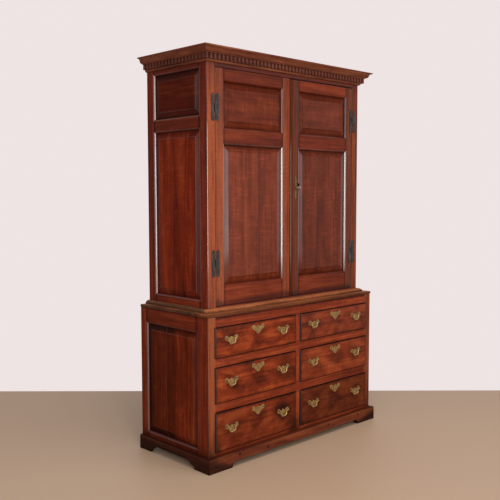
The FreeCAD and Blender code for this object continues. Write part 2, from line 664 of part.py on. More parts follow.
def meeting_bead():
    """Rounded bead planted down the leading edge of the right door."""
    near, far = "meeting_edge", "meeting_edge + meeting_bead_wide"
    middle, crown = "meeting_edge + meeting_bead_wide / 2", "upper_front - meeting_bead_proud"
    outline = [(near, "upper_front"), (near, "upper_front - quirk", "meeting_bead_wide", middle, crown),
               (far, "upper_front - quirk"), (far, "upper_front")]
    return profiled("right_door_meeting_bead", "XY_Plane", outline, "door_bottom", "door_top")


# H hinges: a shaped leaf on the post, one on the door, and a pin through their knuckles

def leaf_outline(middle, level):
    half = "leaf_wide / 2"
    shoulder = "leaf_half_height - leaf_tip"
    left, right = f"{middle} - {half}", f"{middle} + {half}"
    low, high = f"{level} - leaf_half_height", f"{level} + leaf_half_height"
    return [(left, f"{level} - ({shoulder})", "leaf_tip_radius", left, low),
            (middle, low, "leaf_tip_radius", right, low), (right, f"{level} - ({shoulder})"),
            (right, f"{level} + {shoulder}", "leaf_tip_radius", right, high),
            (middle, high, "leaf_tip_radius", left, high), (left, f"{level} + {shoulder}")]


def hinge(side, position):
    """Pieces of one hinge: post leaf, door leaf, pin."""
    stem = f"{position}_{'left' if side < 0 else 'right'}_hinge"
    level = f"{position}_hinge_z"
    axis_x = f"{side} * hinge_x"
    plate_y = ("upper_front - leaf_thick", "upper_front")
    parts_of = {"post": [("knuckle_share + knuckle_play", "knuckle_half"),
                         ("-knuckle_half", "-knuckle_share - knuckle_play")],
                "door": [("-knuckle_share", "knuckle_share")]}
    bores = {"post": "pin_radius", "door": "pin_radius + pin_clearance"}
    leaves = {}
    for owner, knuckles in parts_of.items():
        away = 1 if owner == "post" else -1
        middle = f"{side} * (hinge_x + {away} * (leaf_gap + leaf_wide / 2))"
        pieces = [profiled(f"{stem}_{owner}_plate", "XZ_Plane", leaf_outline(middle, level), *plate_y)]
        for number, (low, high) in enumerate(knuckles):
            tall = (f"{level} + {low}", f"{level} + {high}")
            near, far = ("0", "leaf_gap + quirk") if away > 0 else ("-leaf_gap - quirk", "0")
            pieces.append(block(f"{stem}_{owner}_strap_{number}",
                                spread(side, f"hinge_x + {near}", f"hinge_x + {far}"), plate_y, tall))
            pieces.append(rod(f"{stem}_{owner}_knuckle_{number}", "knuckle_radius",
                              (axis_x, "hinge_y", tall[0]), f"({high}) - ({low})"))
        bore = rod(f"{stem}_{owner}_bore", bores[owner], (axis_x, "hinge_y", f"{level} - 2 * knuckle_half"),
                   "4 * knuckle_half")
        leaves[owner] = cut(f"{stem}_{owner}_leaf", joined(f"{stem}_{owner}_blank", *pieces), bore)
    pin = rod(f"{stem}_pin", "pin_radius", (axis_x, "hinge_y", f"{level} - knuckle_half - quirk"),
              "2 * (knuckle_half + quirk)")
    return leaves["post"], leaves["door"], pin


def hinges():
    fixed = []
    for hand, side in (("left", -1), ("right", 1)):
        sets = [hinge(side, position) for position in ("upper", "lower")]
        node(f"{hand}_door_hinge_leaves", [pieces[1] for pieces in sets])
        fixed += [piece for pieces in sets for piece in (pieces[0], pieces[2])]
    node("hinge_post_leaves", fixed)


# Lock on the back of the right door, its bolt, its key and its face plate

def key_way(stem, front, rear):
    """Round hole for the key's shank, and the slot below it for the bit."""
    hole = rod(f"{stem}_key_hole", "key_radius + key_hole_ease", ("key_x", front, "lock_height"),
               f"{rear} - ({front})", (0, 1, 0))
    slot = block(f"{stem}_key_slot", ("key_x - key_bit_thick / 2 - key_hole_ease",
                                      "key_x + key_bit_thick / 2 + key_hole_ease"), (front, rear),
                 ("lock_height - key_bit - key_hole_ease", "lock_height"))
    return [hole, slot]


def door_lock():
    left, right = "meeting_edge + lock_wall", "meeting_edge + lock_stile"
    rear = "door_back + lock_case_deep"
    shell = block("lock_shell", (left, right), ("door_back", rear),
                  ("lock_height - lock_case_half", "lock_height + lock_case_half"))
    hollow = block("lock_hollow", (f"{left} + lock_wall", f"{right} - lock_wall"),
                   ("door_back + lock_wall", f"{rear} - lock_wall"),
                   ("lock_height - lock_case_half + lock_wall", "lock_height + lock_case_half - lock_wall"))
    bolt_y = ("door_back + 2 * lock_wall", "door_back + 2 * lock_wall + bolt_thick")
    bolt_z = ("lock_height + bolt_above_key", "lock_height + bolt_above_key + bolt_high")
    mouth = block("lock_mouth", (f"{left} - lock_wall", f"{left} + 2 * lock_wall"),
                  (f"{bolt_y[0]} - bolt_play", f"{bolt_y[1]} + bolt_play"),
                  (f"{bolt_z[0]} - bolt_play", f"{bolt_z[1]} + bolt_play"))
    seat = rod("lock_key_seat", "key_radius + key_clearance",
               ("key_x", f"{rear} - 2 * lock_wall", "lock_height"), "3 * lock_wall", (0, 1, 0))
    node("lock_case", [cut("lock_case_shell", shell, hollow, mouth, seat,
                           *key_way("case", "door_back - lock_wall", "door_back + 2 * lock_wall"))])
    bar = block("lock_bolt_bar", (left, "key_x + notch_to + lock_wall"), bolt_y, bolt_z)
    notch = block("lock_bolt_notch", ("key_x + notch_from", "key_x + notch_to"),
                  (f"{bolt_y[0]} - lock_wall", f"{bolt_y[1]} + lock_wall"),
                  (f"{bolt_z[0]} - lock_wall", f"{bolt_z[0]} + notch_high"))
    node("lock_bolt", [cut("lock_bolt_cut", bar, notch)])

    tip = "upper_front - key_proud"
    shank = rod("key_shank", "key_radius", ("key_x", tip, "lock_height"), f"{rear} - ({tip})", (0, 1, 0))
    bit_y = ("door_back + key_bit_in", "door_back + key_bit_in + key_bit_long")
    bit = block("key_bit_plate", ("key_x - key_bit_thick / 2", "key_x + key_bit_thick / 2"), bit_y,
                ("lock_height - key_bit", "lock_height"))
    bow = ("key_x - key_bow_thick / 2", f"{tip} - key_bow_hole", "lock_height")
    disc, eye = [rod(f"key_bow_{name}", radius, bow, "key_bow_thick", (1, 0, 0))
                 for name, radius in (("disc", "key_bow_radius"), ("eye", "key_bow_hole"))]
    node("key", [joined("key_whole", shank, bit, cut("key_bow", disc, eye))])

    half = "door_plate_wide / 2"
    ends = "door_plate_half - door_plate_tip"
    radius = "door_plate_half - door_plate_tip / 2"
    left, right = f"key_x - {half}", f"key_x + {half}"
    outline = []
    for turn in (-1, 1):
        sides = (left, right) if turn < 0 else (right, left)
        level, tip = f"lock_height + {turn} * ({ends})", f"lock_height + {turn} * door_plate_half"
        outline += [(sides[0], level, radius, sides[0], tip), ("key_x", tip, radius, sides[1], tip),
                    (sides[1], level)]
    plate = profiled("door_plate", "XZ_Plane", outline, "upper_front - door_plate_thick", "upper_front")
    node("door_escutcheon", [cut("door_plate_cut", plate,
                                 *key_way("plate", "upper_front - 2 * door_plate_thick", "door_back"))])


# Lower case: framed sides, drawer rails and muntins, runners, back

def lower_case():
    levels = [("top", "top_row_top", "lower_height"), ("second", "middle_row_top", "top_row_bottom"),
              ("third", "bottom_row_top", "middle_row_bottom"),
              ("bottom", "lower_side_rail_start", "bottom_row_bottom")]
    front_rails = []
    mortises = {-1: [], 1: []}
    for name, bottom, top in levels:
        rail, tenons = cross_rail(f"drawer_{name}_rail", "drawer_outer", "lower_front",
                                  bottom, top, "tenon_shoulder")
        front_rails.append(rail)
        mortises[-1].append(tenons[0])
        mortises[1].append(tenons[1])
    bottom_rail_top = "lower_side_rail_start + lower_side_bottom_rail"
    spec = {
        "half": "lower_half", "front": "lower_front", "rail_front": "lower_rail_front",
        "rail_rear": "lower_rail_rear", "post": ("0", "lower_height"),
        "rebate": ("lower_side_rail_start", "lower_height"),
        "post_deep": "lower_post_deep", "post_wide": "lower_post_wide", "rear_deep": "lower_rear_post_deep",
        "mortises": mortises,
        "rails": [("top", "lower_height - lower_side_top_rail", "lower_height", "lower"),
                  ("bottom", "lower_side_rail_start", bottom_rail_top, "upper")],
        "panels": [("side", bottom_rail_top, "lower_height - lower_side_top_rail",
                    "lower_rail_rear - side_panel_seam")],
    }
    posts, rails, panels = [], [], []
    for side in (-1, 1):
        for found, kept in zip(framed_side("lower", side, spec), (posts, rails, panels)):
            kept += found
    node("lower_posts", posts)
    node("lower_side_rails", rails)
    node("lower_side_panels", panels)

    rows = ("top", "middle", "bottom")
    muntins = [block(f"{row}_muntin", ("-drawer_inner", "drawer_inner"),
                     ("lower_front", "lower_front + frame_thick"),
                     (f"{row}_row_bottom", f"{row}_row_top")) for row in rows]
    rear = block("rear_muntin_post", ("-rear_muntin / 2", "rear_muntin / 2"),
                 ("back_inside - rear_muntin_thick", "back_inside"),
                 ("lower_side_rail_start", "lower_height"))
    node("drawer_frame", front_rails + muntins + [rear])
    node("lower_back_boards", backing("lower", "lower_half", "lower_back_count", "lower_side_rail_start",
                                      "lower_height"))

    runners = []
    for row in rows:
        level = f"{row}_row_bottom"
        ledge = (f"{level} - runner_high", level)
        fence = (f"{level} - runner_high", f"{level} + guide_high")
        behind = "lower_front + frame_thick"
        shelf = block(f"{row}_middle_ledge", ("-drawer_inner - runner_wide", "drawer_inner + runner_wide"),
                      (behind, "back_inside - rear_muntin_thick"), ledge)
        rib = block(f"{row}_middle_rib", ("guide_ease - drawer_inner", "drawer_inner - guide_ease"),
                    (behind, "back_inside - rear_muntin_thick"), fence)
        runners.append(joined(f"{row}_middle_runner", shelf, rib))
        for side in (-1, 1):
            hand = "left" if side < 0 else "right"
            shelf = block(f"{row}_{hand}_ledge", spread(side, "drawer_outer - runner_wide", "drawer_outer"),
                          (behind, "back_inside"), ledge)
            rib = block(f"{row}_{hand}_rib", spread(side, "drawer_outer", "lower_inner_half"),
                        ("lower_rail_front", "lower_rail_rear"), fence)
            runners.append(joined(f"{row}_{hand}_runner", shelf, rib))
    node("drawer_runners", runners)


def plinth():
    trims = mitre_wedges("plinth", "lower_half", "lower_front", "plinth_side_thick", "plinth_front_thick",
                         "0", "plinth_height")
    crest = measured("plinth_height")

    def top_edge(face):
        return lambda middle, edge: abs(middle.z - crest) < NEAR and face(middle)
    outline = [("-plinth_half", "0")]
    inner, flat = "plinth_half - front_foot", "plinth_half - front_foot - apron_rise"
    outline += [(f"-({inner})", "0", "apron_rise", f"-({inner})", "apron_rise"), (f"-({flat})", "apron_rise"),
                (flat, "apron_rise", "apron_rise", inner, "apron_rise"), (inner, "0"),
                ("plinth_half", "0"), ("plinth_half", "plinth_height"), ("-plinth_half", "plinth_height")]
    front = profiled("plinth_front_board", "XZ_Plane", outline, "plinth_face", "lower_front")
    face_y = measured("plinth_face")
    rounded(front, "plinth_front_top", "plinth_round", top_edge(lambda middle: abs(middle.y - face_y) < NEAR))
    boards = [cut("plinth_front", front, *trims["front"])]
    for side in (-1, 1):
        hand = "left" if side < 0 else "right"
        half_run = "bracket_run / 2"
        swell = "(bracket_step + side_apron_rise) / 2"
        outline = [("plinth_face", "0"), ("plinth_front_foot", "0"), ("plinth_front_foot", "bracket_step",
                   "bracket_radius", f"plinth_front_foot + {half_run}", "bracket_step"),
                   (f"plinth_front_foot + {half_run}", swell, "bracket_radius",
                    f"plinth_front_foot + {half_run}", "side_apron_rise"),
                   ("plinth_front_foot + bracket_run", "side_apron_rise"),
                   ("plinth_rear_foot - bracket_run", "side_apron_rise", "bracket_radius",
                    f"plinth_rear_foot - {half_run}", "side_apron_rise"),
                   (f"plinth_rear_foot - {half_run}", swell, "bracket_radius",
                    f"plinth_rear_foot - {half_run}", "bracket_step"),
                   ("plinth_rear_foot", "bracket_step"), ("plinth_rear_foot", "0"),
                   ("back", "0"), ("back", "plinth_height"), ("plinth_face", "plinth_height")]
        board = profiled(f"plinth_{hand}_board", "YZ_Plane", outline,
                         *spread(side, "lower_half", "plinth_half"))
        face_x = side * measured("plinth_half")
        rounded(board, f"plinth_{hand}_top", "plinth_round",
                top_edge(lambda middle, face_x=face_x: abs(middle.x - face_x) < NEAR))
        boards.append(cut(f"plinth_{hand}", board, *trims[side]))
    node("plinth_boards", boards)


# Drawers: lipped fronts, dovetailed boxes, brasses with swinging bails

def tailed_side(name, bottom, top, x):
    """Drawer side whose front end is cut into dovetails that lap into the drawer front."""
    pitch = f"(({top}) - ({bottom})) / tail_count"
    outline = [("drawer_end", bottom), ("drawer_end", top), ("tail_root", top)]
    for number in reversed(range(SIZES["tail_count"])):
        low = f"{bottom} + {pitch} * ({number} + (1 - tail_share) / 2)"
        high = f"{bottom} + {pitch} * ({number} + (1 + tail_share) / 2)"
        outline += [("tail_root", high), ("tail_tip", f"{high} + tail_flare"),
                    ("tail_tip", f"{low} - tail_flare"), ("tail_root", low)]
    outline.append(("tail_root", bottom))
    return profiled(name, "YZ_Plane", outline, *x)


def lipped_front(name, x, z):
    """Drawer front: a lip that laps over the opening, its edge rounded, and a thick board behind it."""
    def frame(margin):
        low, high = f"{x[0]} - ({margin})", f"{x[1]} + {margin}"
        return [(low, f"{z[0]} - ({margin})"), (high, f"{z[0]} - ({margin})"),
                (high, f"{z[1]} + {margin}"), (low, f"{z[1]} + {margin}")]
    body = doc.addObject("PartDesign::Body", name)
    sketch = drawn(body, name + "_lip_outline", "XZ_Plane", frame("lip_overlap"))
    lip = body.newObject("PartDesign::Pad", name + "_lip")
    lip.Profile = sketch
    bind(lip, Length="lip_proud")
    put(body, y="lower_front")
    face = measured("lip_face")
    rounded(body, name + "_lip_round", "lip_round", lambda middle, edge: abs(middle.y - face) < NEAR)
    board = body.newObject("PartDesign::Pad", name + "_board")
    board.Profile = drawn(body, name + "_board_outline", "XZ_Plane", frame("-drawer_clear"))
    board.Reversed = True
    bind(board, Length="drawer_front_thick")
    body.Tip = board
    return body


def plate_outline(middle, level):
    """Brass plate about its post line: two round wings, a crest between saddles, and a hanging lobe."""
    half = "bail_span / 2"
    slope = "lobe_radius / sqrt(2)"
    low_x, low_z = f"{half} + lobe_radius / 2", "lobe_radius * sqrt(3) / 2"
    drop_x, drop_z = "drop_lobe_radius * sqrt(3) / 2", "plate_drop + drop_lobe_radius / 2"
    bottom = "plate_drop + drop_lobe_radius"
    outline = [("crest_half", "crest_foot", "saddle_radius", half, f"-({half})"),
               (f"{half} - {slope}", slope, "lobe_radius", "bail_span", "lobe_radius"),
               (f"{half} + lobe_radius", "0", "lobe_radius", "bail_span", "-lobe_radius"),
               (low_x, f"-{low_z}", "flank_radius", "0", "0"),
               (drop_x, f"-({drop_z})", "drop_lobe_radius", "drop_lobe_radius", f"-({bottom})"),
               ("0", f"-({bottom})", "drop_lobe_radius", "-drop_lobe_radius", f"-({bottom})"),
               (f"-({drop_x})", f"-({drop_z})", "flank_radius", "0", "0"),
               (f"-({low_x})", f"-{low_z}", "lobe_radius", "-bail_span", "-lobe_radius"),
               (f"-{half} - lobe_radius", "0", "lobe_radius", "-bail_span", "lobe_radius"),
               (f"{slope} - {half}", slope, "saddle_radius", f"-({half})", f"-({half})"),
               ("-crest_half", "crest_foot", "crest_radius", "0", "bail_span")]
    return laid(outline, lambda across, up: (f"{middle} + {across}", f"{level} + {up}"))


def bail_body(name, middle, level):
    """Swinging bail: two pins in the posts, curved necks, and a grip rounded at its corners."""
    body = doc.addObject("PartDesign::Body", name)
    tip = "bail_span / 2 + bail_pin"
    neck = "bail_span / 2 - bail_neck"
    arm = f"{neck} - bail_bend"
    turn, drop = "bail_bend", "bail_drop"
    corner = f"{arm} - bail_corner"
    right = [(tip, "0"), (neck, "0", turn, arm, "0"), (arm, f"-{turn}"),
             (arm, f"bail_corner - {drop}", "bail_corner", arm, f"-{drop}"), (corner, f"-{drop}")]
    left = [(f"-({corner})", f"-{drop}", "bail_corner", f"-({arm})", f"-{drop}"),
            (f"-({arm})", f"bail_corner - {drop}"), (f"-({arm})", f"-{turn}", turn, f"-({arm})", "0"),
            (f"-({neck})", "0"), (f"-({tip})", "0")]
    path = drawn(body, name + "_path", "XZ_Plane",
                 laid(right + left, lambda across, up: (f"{middle} + {across}", f"{level} + {up}")),
                 closed=False)
    half, rise = "bail_wire / 2", "bail_wire * sqrt(3) / 2"
    hexagon = [("bail_wire", "0"), (half, rise), (f"-({half})", rise), ("-bail_wire", "0"),
               (f"-({half})", f"-({rise})"), (half, f"-({rise})")]
    ring = drawn(body, name + "_section", "YZ_Plane", laid(hexagon, lambda out, up: (out, f"{level} + {up}")))
    bind(ring, AttachmentOffset_Base_z=f"{middle} + {tip}")
    pipe = body.newObject("PartDesign::AdditivePipe", name + "_wire")
    pipe.Profile = ring
    pipe.Spine = path
    return put(body, y="bail_y")


def post_outline(level, end):
    """Cast post from the side: a round eye for the bail, and a stem through plate and drawer front."""
    leave = "bail_y + sqrt(post_eye_radius ^ 2 - post_stem ^ 2 / 4)"
    nose = "bail_y - post_eye_radius"
    low, high = f"{level} - post_stem / 2", f"{level} + post_stem / 2"
    return [(leave, high, "post_eye_radius", nose, f"{level} + post_eye_radius"),
            (nose, level, "post_eye_radius", nose, f"{level} - post_eye_radius"),
            (leave, low), (end, low), (end, high)]


def drawer(row, hand):
    stem = f"{row}_{hand}_drawer"
    side = -1 if hand == "left" else 1
    bottom, top = f"{row}_row_bottom", f"{row}_row_top"
    x, z = spread(side, "drawer_inner", "drawer_outer"), (bottom, top)
    middle = f"{side} * drawer_middle"
    level = f"({bottom} + {top}) / 2 + handle_rise"
    side_bottom, side_top = f"{bottom} + drawer_run", f"{top} - drawer_head_room"
    floor = f"{side_bottom} + drawer_bottom_up"
    west = (f"{x[0]} + drawer_clear", f"{x[0]} + drawer_clear + drawer_side_thick")
    east = (f"{x[1]} - drawer_clear - drawer_side_thick", f"{x[1]} - drawer_clear")
    base = block(f"{stem}_bottom", (f"{west[1]} - drawer_groove", f"{east[0]} + drawer_groove"),
                 ("tail_root - drawer_groove", "drawer_end"), (floor, f"{floor} + drawer_bottom_thick"))
    rear = block(f"{stem}_back", (f"{west[1]} - drawer_groove", f"{east[0]} + drawer_groove"),
                 ("drawer_end - 2 * drawer_back_thick", "drawer_end - drawer_back_thick"),
                 (f"{floor} + drawer_bottom_thick", f"{side_top} - drawer_back_drop"))
    sides = [tailed_side(f"{stem}_{end}_side_body", side_bottom, side_top, span)
             for end, span in (("west", west), ("east", east))]
    posts, shanks, plates, bails = [], [], [], []
    post_end = "tail_root + post_clench"
    for number, turn in enumerate((-1, 1)):
        centre = f"{middle} + {turn} * handle_spread"
        pair = []
        for end in (-1, 1):
            spot = f"{centre} + {end} * bail_span / 2"
            post = f"{stem}_post_{number}_{'west' if end < 0 else 'east'}"
            x_span = (f"{spot} - post_wide / 2", f"{spot} + post_wide / 2")
            shank = block(post + "_shank", x_span, ("bail_y", post_end),
                          (f"{level} - post_stem / 2", f"{level} + post_stem / 2"))
            casting = profiled(post + "_casting", "YZ_Plane", post_outline(level, post_end), *x_span)
            bore = rod(post + "_bore", "bail_wire + bail_clearance", (f"{spot} - post_wide", "bail_y", level),
                       "2 * post_wide", (1, 0, 0))
            posts.append(cut(post, casting, bore))
            pair.append(shank)
        plate = profiled(f"{stem}_plate_{number}", "XZ_Plane", plate_outline(centre, level),
                         "plate_face", "lip_face")
        plates.append(cut(f"{stem}_plate_{number}_pierced", plate, *pair))
        bails.append(bail_body(f"{stem}_bail_{number}", centre, level))
        shanks += pair
    key_level = f"{top} - escutcheon_drop"
    hole = rod(f"{stem}_key_hole", "drawer_key_hole", (middle, "plate_face - quirk", key_level),
               "tail_root + 2 * quirk - plate_face", (0, 1, 0))
    slot = block(f"{stem}_key_slot", (f"{middle} - drawer_key_slot / 2", f"{middle} + drawer_key_slot / 2"),
                 ("plate_face - quirk", "tail_root + quirk"),
                 (f"{key_level} - drawer_key_slot_long", key_level))
    shield = profiled(f"{stem}_shield", "XZ_Plane", plate_outline(middle, key_level),
                      "plate_face", "lip_face")
    plates.append(cut(f"{stem}_escutcheon", shield, hole, slot))
    face = lipped_front(f"{stem}_front_body", x, z)
    node(f"{stem}_front", [cut(f"{stem}_front_cut", face, *sides, base, hole, slot, *shanks)])
    grooved = [cut(f"{side_body.Name}_grooved", side_body, base, rear) for side_body in sides]
    node(f"{stem}_box", grooved + [rear, base])
    node(f"{stem}_brasses", plates + posts)
    node(f"{stem}_left_bail", [bails[0]])
    node(f"{stem}_right_bail", [bails[1]])


upper_case()
cornice()
waist()
door("left")
door("right")
hinges()
door_lock()
lower_case()
plinth()
for drawer_row in ("top", "middle", "bottom"):
    for drawer_hand in ("left", "right"):
        drawer(drawer_row, drawer_hand)
doc.recompute()

failed = [obj.Name for obj in doc.Objects if {"Invalid", "Error"} & set(obj.State)]
failed += [part.Label for part in NODES
           if part.Shape.isNull() or not part.Shape.isValid() or not part.Shape.Solids]
if failed:
    raise RuntimeError(f"these pieces failed: {failed}")
os.makedirs("parts", exist_ok=True)
for part in NODES:
    part.Shape.exportStep(f"parts/{part.Label}.step")
print(len(NODES), "sub-parts,", sum(len(part.Shape.Solids) for part in NODES), "solids")
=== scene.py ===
import math

import bmesh
import bpy
import numpy as np
from mathutils import Matrix, Vector


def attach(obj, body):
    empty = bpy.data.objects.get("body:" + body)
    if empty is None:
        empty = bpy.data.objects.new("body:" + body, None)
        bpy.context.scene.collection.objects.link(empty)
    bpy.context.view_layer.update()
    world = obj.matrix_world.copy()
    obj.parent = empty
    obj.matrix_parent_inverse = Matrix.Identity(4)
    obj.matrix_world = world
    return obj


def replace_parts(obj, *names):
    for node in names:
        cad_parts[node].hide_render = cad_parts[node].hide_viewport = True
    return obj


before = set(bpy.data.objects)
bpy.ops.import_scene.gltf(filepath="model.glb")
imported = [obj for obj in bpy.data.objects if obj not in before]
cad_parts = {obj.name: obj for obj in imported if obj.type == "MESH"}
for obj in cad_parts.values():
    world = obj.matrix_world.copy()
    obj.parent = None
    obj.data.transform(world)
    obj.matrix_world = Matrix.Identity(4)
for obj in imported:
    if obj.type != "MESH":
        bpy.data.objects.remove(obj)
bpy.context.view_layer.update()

scene = bpy.context.scene
scene.view_settings.view_transform = "Standard"


# Studio: a plain pale floor in front of a plain pale wall, and soft lamps: two tall ones beside the camera
# that draw the highlights down the mouldings, a large one and a low one in front, and one overhead.

WALL_WHITE = (0.855, 0.775, 0.77, 1)
ROOM_GLOW, ROOM_LIGHT = (1, 0.97, 0.94, 1), 0.3
FLOOR_BEIGE, FLOOR_ROUGH = (0.57, 0.39, 0.26, 1), 0.55
FLOOR_BEHIND, FLOOR_REACH = 0.86, 7.0
EYE = Vector((-2.8598, -2.8357, 1.3174))
EYE_YAW, EYE_PITCH, EYE_ROLL = math.radians(44.165), math.radians(-4.336), math.radians(0.105)
LENS, SENSOR = 53.4, 36.0
LAMP_AIM = Vector((0, 0, 1.1))
LAMPS = {"window_lamp": ((-2.6, -3.9, 1.4), (0.9, 2.6), 58),
         "second_window_lamp": ((-3.7, -2.9, 1.4), (0.9, 2.6), 42),
         "front_lamp": ((1.6, -4.6, 2.6), (2.2, 2.2), 18),
         "low_lamp": ((1.45, -3.9, 0.6), (0.5, 0.8), 12),
         "ceiling_lamp": ((-0.6, -1.6, 4.4), (2.6, 2.6), 70)}


class Shade:
    """A node's output that takes part in sums: each operator adds one Math node."""

    def __init__(self, finish, socket):
        self.finish, self.socket = finish, socket

    def math(self, operation, *others):
        inputs = {number: value for number, value in enumerate((self,) + others)}
        return self.finish.add("ShaderNodeMath", {"operation": operation}, inputs)

    def __add__(self, other):
        return self.math("ADD", other)

    def __mul__(self, other):
        return self.math("MULTIPLY", other)

    def __sub__(self, other):
        return self.math("SUBTRACT", other)

    def __truediv__(self, other):
        return self.math("DIVIDE", other)

    def __rsub__(self, other):
        return self.finish.add("ShaderNodeMath", {"operation": "SUBTRACT"}, {0: other, 1: self})

    def __abs__(self):
        return self.math("ABSOLUTE")

    __radd__ = __add__
    __rmul__ = __mul__

    def between(self, low, high):
        """0 below low, 1 above high, smooth between them."""
        return self.finish.add("ShaderNodeMapRange", {"interpolation_type": "SMOOTHSTEP"},
                               {"Value": self, "From Min": low, "From Max": high})


class Finish:
    """A node tree under construction, for a material or the room."""

    def __init__(self, owner):
        owner.use_nodes = True
        self.owner, self.tree = owner, owner.node_tree
        self.tree.nodes.clear()

    def add(self, kind, settings=None, inputs=None, out=0):
        """New node of a kind: its settings first, then the values or links of its sockets."""
        node = self.tree.nodes.new(kind)
        for name, value in (settings or {}).items():
            if name == "stops":
                ramp = node.color_ramp
                while len(ramp.elements) < len(value):
                    ramp.elements.new(1)
                for element, (place, colour) in zip(ramp.elements, value):
                    element.position, element.color = place, (*colour, 1)
            else:
                setattr(node, name, value)
        for name, value in (inputs or {}).items():
            if isinstance(value, Shade):
                self.tree.links.new(value.socket, node.inputs[name])
            else:
                node.inputs[name].default_value = value
        return Shade(self, node.outputs[out]) if node.outputs else node

    def mix(self, factor, first, second):
        """The first colour, or the second one as far as the factor says."""
        return self.add("ShaderNodeMix", {"data_type": "RGBA"}, {0: factor, 6: first, 7: second}, 2)

    def tinted(self, factor, colour, tint):
        """The colour multiplied by a tint, as far as the factor says."""
        return self.add("ShaderNodeMix", {"data_type": "RGBA", "blend_type": "MULTIPLY"},
                        {0: factor, 6: colour, 7: tint if isinstance(tint, Shade) else (*tint, 1)}, 2)

    def axes(self, vector):
        """The three numbers of a vector."""
        node = self.tree.nodes.new("ShaderNodeSeparateXYZ")
        self.tree.links.new(vector.socket, node.inputs[0])
        return [Shade(self, socket) for socket in node.outputs]

    def place(self):
        """Where on the piece a point is, in metres: its Object coordinates."""
        return self.add("ShaderNodeTexCoord", {}, {}, 3)

    def noise(self, vector, scale, detail=4.0, roughness=0.55, distortion=0.0):
        """Noise whose grains have a size of about 1 / scale along each axis."""
        stretched = self.add("ShaderNodeVectorMath", {"operation": "MULTIPLY"}, {0: vector, 1: scale})
        return self.add("ShaderNodeTexNoise", {}, {"Vector": stretched, "Scale": 1.0, "Detail": detail,
                                                   "Roughness": roughness, "Distortion": distortion})

    def bump(self, strength, distance, height):
        """Small relief, at most the distance deep, for a surface's Normal."""
        return self.add("ShaderNodeBump", {}, {"Strength": strength, "Distance": distance, "Height": height})

    def surface(self, fixed, **linked):
        """Principled surface with fixed socket values and linked ones, joined to the material's output."""
        shader = self.add("ShaderNodeBsdfPrincipled", {}, {**fixed, **{
            name.replace("_", " "): value for name, value in linked.items()}})
        self.add("ShaderNodeOutputMaterial", {}, {"Surface": shader})
        return self.owner


room = Finish(bpy.data.worlds.new("room"))
rays = room.tree.nodes.new("ShaderNodeLightPath")
seen = Shade(room, rays.outputs["Is Camera Ray"]) + Shade(room, rays.outputs["Is Glossy Ray"]) \
    + Shade(room, rays.outputs["Is Transmission Ray"])
glow = room.add("ShaderNodeBackground", {}, {"Color": ROOM_GLOW, "Strength": ROOM_LIGHT})
wall = room.add("ShaderNodeBackground", {}, {"Color": WALL_WHITE, "Strength": 1.0})
room.add("ShaderNodeOutputWorld", {}, {"Surface": room.add("ShaderNodeMixShader", {}, {
    0: seen.math("MINIMUM", 1.0), 1: glow, 2: wall})})
scene.world = room.owner

away = Vector((math.sin(EYE_YAW), math.cos(EYE_YAW), 0))
aside = Vector((away.y, -away.x, 0))
floor_corners = [away * ahead + aside * out for ahead, out in (
    (-FLOOR_REACH, -FLOOR_REACH), (-FLOOR_REACH, FLOOR_REACH),
    (FLOOR_BEHIND, FLOOR_REACH), (FLOOR_BEHIND, -FLOOR_REACH))]
floor_mesh = bpy.data.meshes.new("floor")
floor_mesh.from_pydata([tuple(corner) for corner in floor_corners], [], [(0, 1, 2, 3)])
floor = bpy.data.objects.new("floor", floor_mesh)
scene.collection.objects.link(floor)
floor_finish = Finish(bpy.data.materials.new("floor"))
floor_mesh.materials.append(floor_finish.surface({"Base Color": FLOOR_BEIGE, "Roughness": FLOOR_ROUGH}))

for lamp_name, (spot, size, power) in LAMPS.items():
    lamp = bpy.data.lights.new(lamp_name, "AREA")
    lamp.shape, lamp.energy = "RECTANGLE", power
    lamp.size, lamp.size_y = size
    holder = bpy.data.objects.new(lamp_name, lamp)
    holder.location = spot
    holder.rotation_euler = (LAMP_AIM - Vector(spot)).to_track_quat("-Z", "Y").to_euler()
    scene.collection.objects.link(holder)

level_ahead = math.cos(EYE_PITCH)
forward = Vector((math.sin(EYE_YAW) * level_ahead, math.cos(EYE_YAW) * level_ahead, math.sin(EYE_PITCH)))
right = forward.cross(Vector((0, 0, 1))).normalized()
upward = right.cross(forward)
turned = Matrix.Rotation(EYE_ROLL, 3, forward) @ Matrix((right, upward, -forward)).transposed()
eye = bpy.data.objects.new("eye", bpy.data.cameras.new("eye"))
eye.data.lens, eye.data.sensor_width = LENS, SENSOR
eye.matrix_world = Matrix.Translation(EYE) @ turned.to_4x4()
scene.collection.objects.link(eye)
scene.camera = eye


# Upper case: oak posts and rails, mortised, tenoned and scribed together, with fielded panels that float in
# their grooves. Waxed for two centuries: faded and worn where the front is handled, and dark in the corners
# with dirt and painted shade.

WELD_STEPS = 2e5
ARRIS_ANGLE, FLAT_ANGLE, SMOOTH_ANGLE = math.radians(50), math.radians(0.4), math.radians(32)
CORNER_WIDTH, CORNER_NEAR = 0.0028, 2e-4
GLUED_OVERLAP, GLUED_GAP, TOUCHING, SEAM_SCALE = 0.003, 0.001, 1e-4, 5.0
TINT_SEED, TINT_SPREAD, BOARD_SHIFT = np.array([127.1, 311.7, 74.7]), 43.7, (7.3, 3.1, 5.7)
SQUARE_ON, MOSTLY, TURNED_BACK = 0.999, 0.9, 0.05
DUST_BY_TILT, DUST_MOST, DULL_BACK = 5, 0.9, 0.45
TENON, TONGUE, TOP_PANELS = (0.026, 0.0), (0.0075, 0.0075), 1.55
UPPER_FACE, UPPER_CORNER, ROUGH_SIDES = -0.1905, (0.568, -0.1905), ("back", "inside")


def numbers(items, field, width, kind=np.float64):
    """A field of all points, edges or faces of a mesh, one row each."""
    values = np.empty(len(items) * width, dtype=kind)
    items.foreach_get(field, values)
    return values.reshape(-1, width)


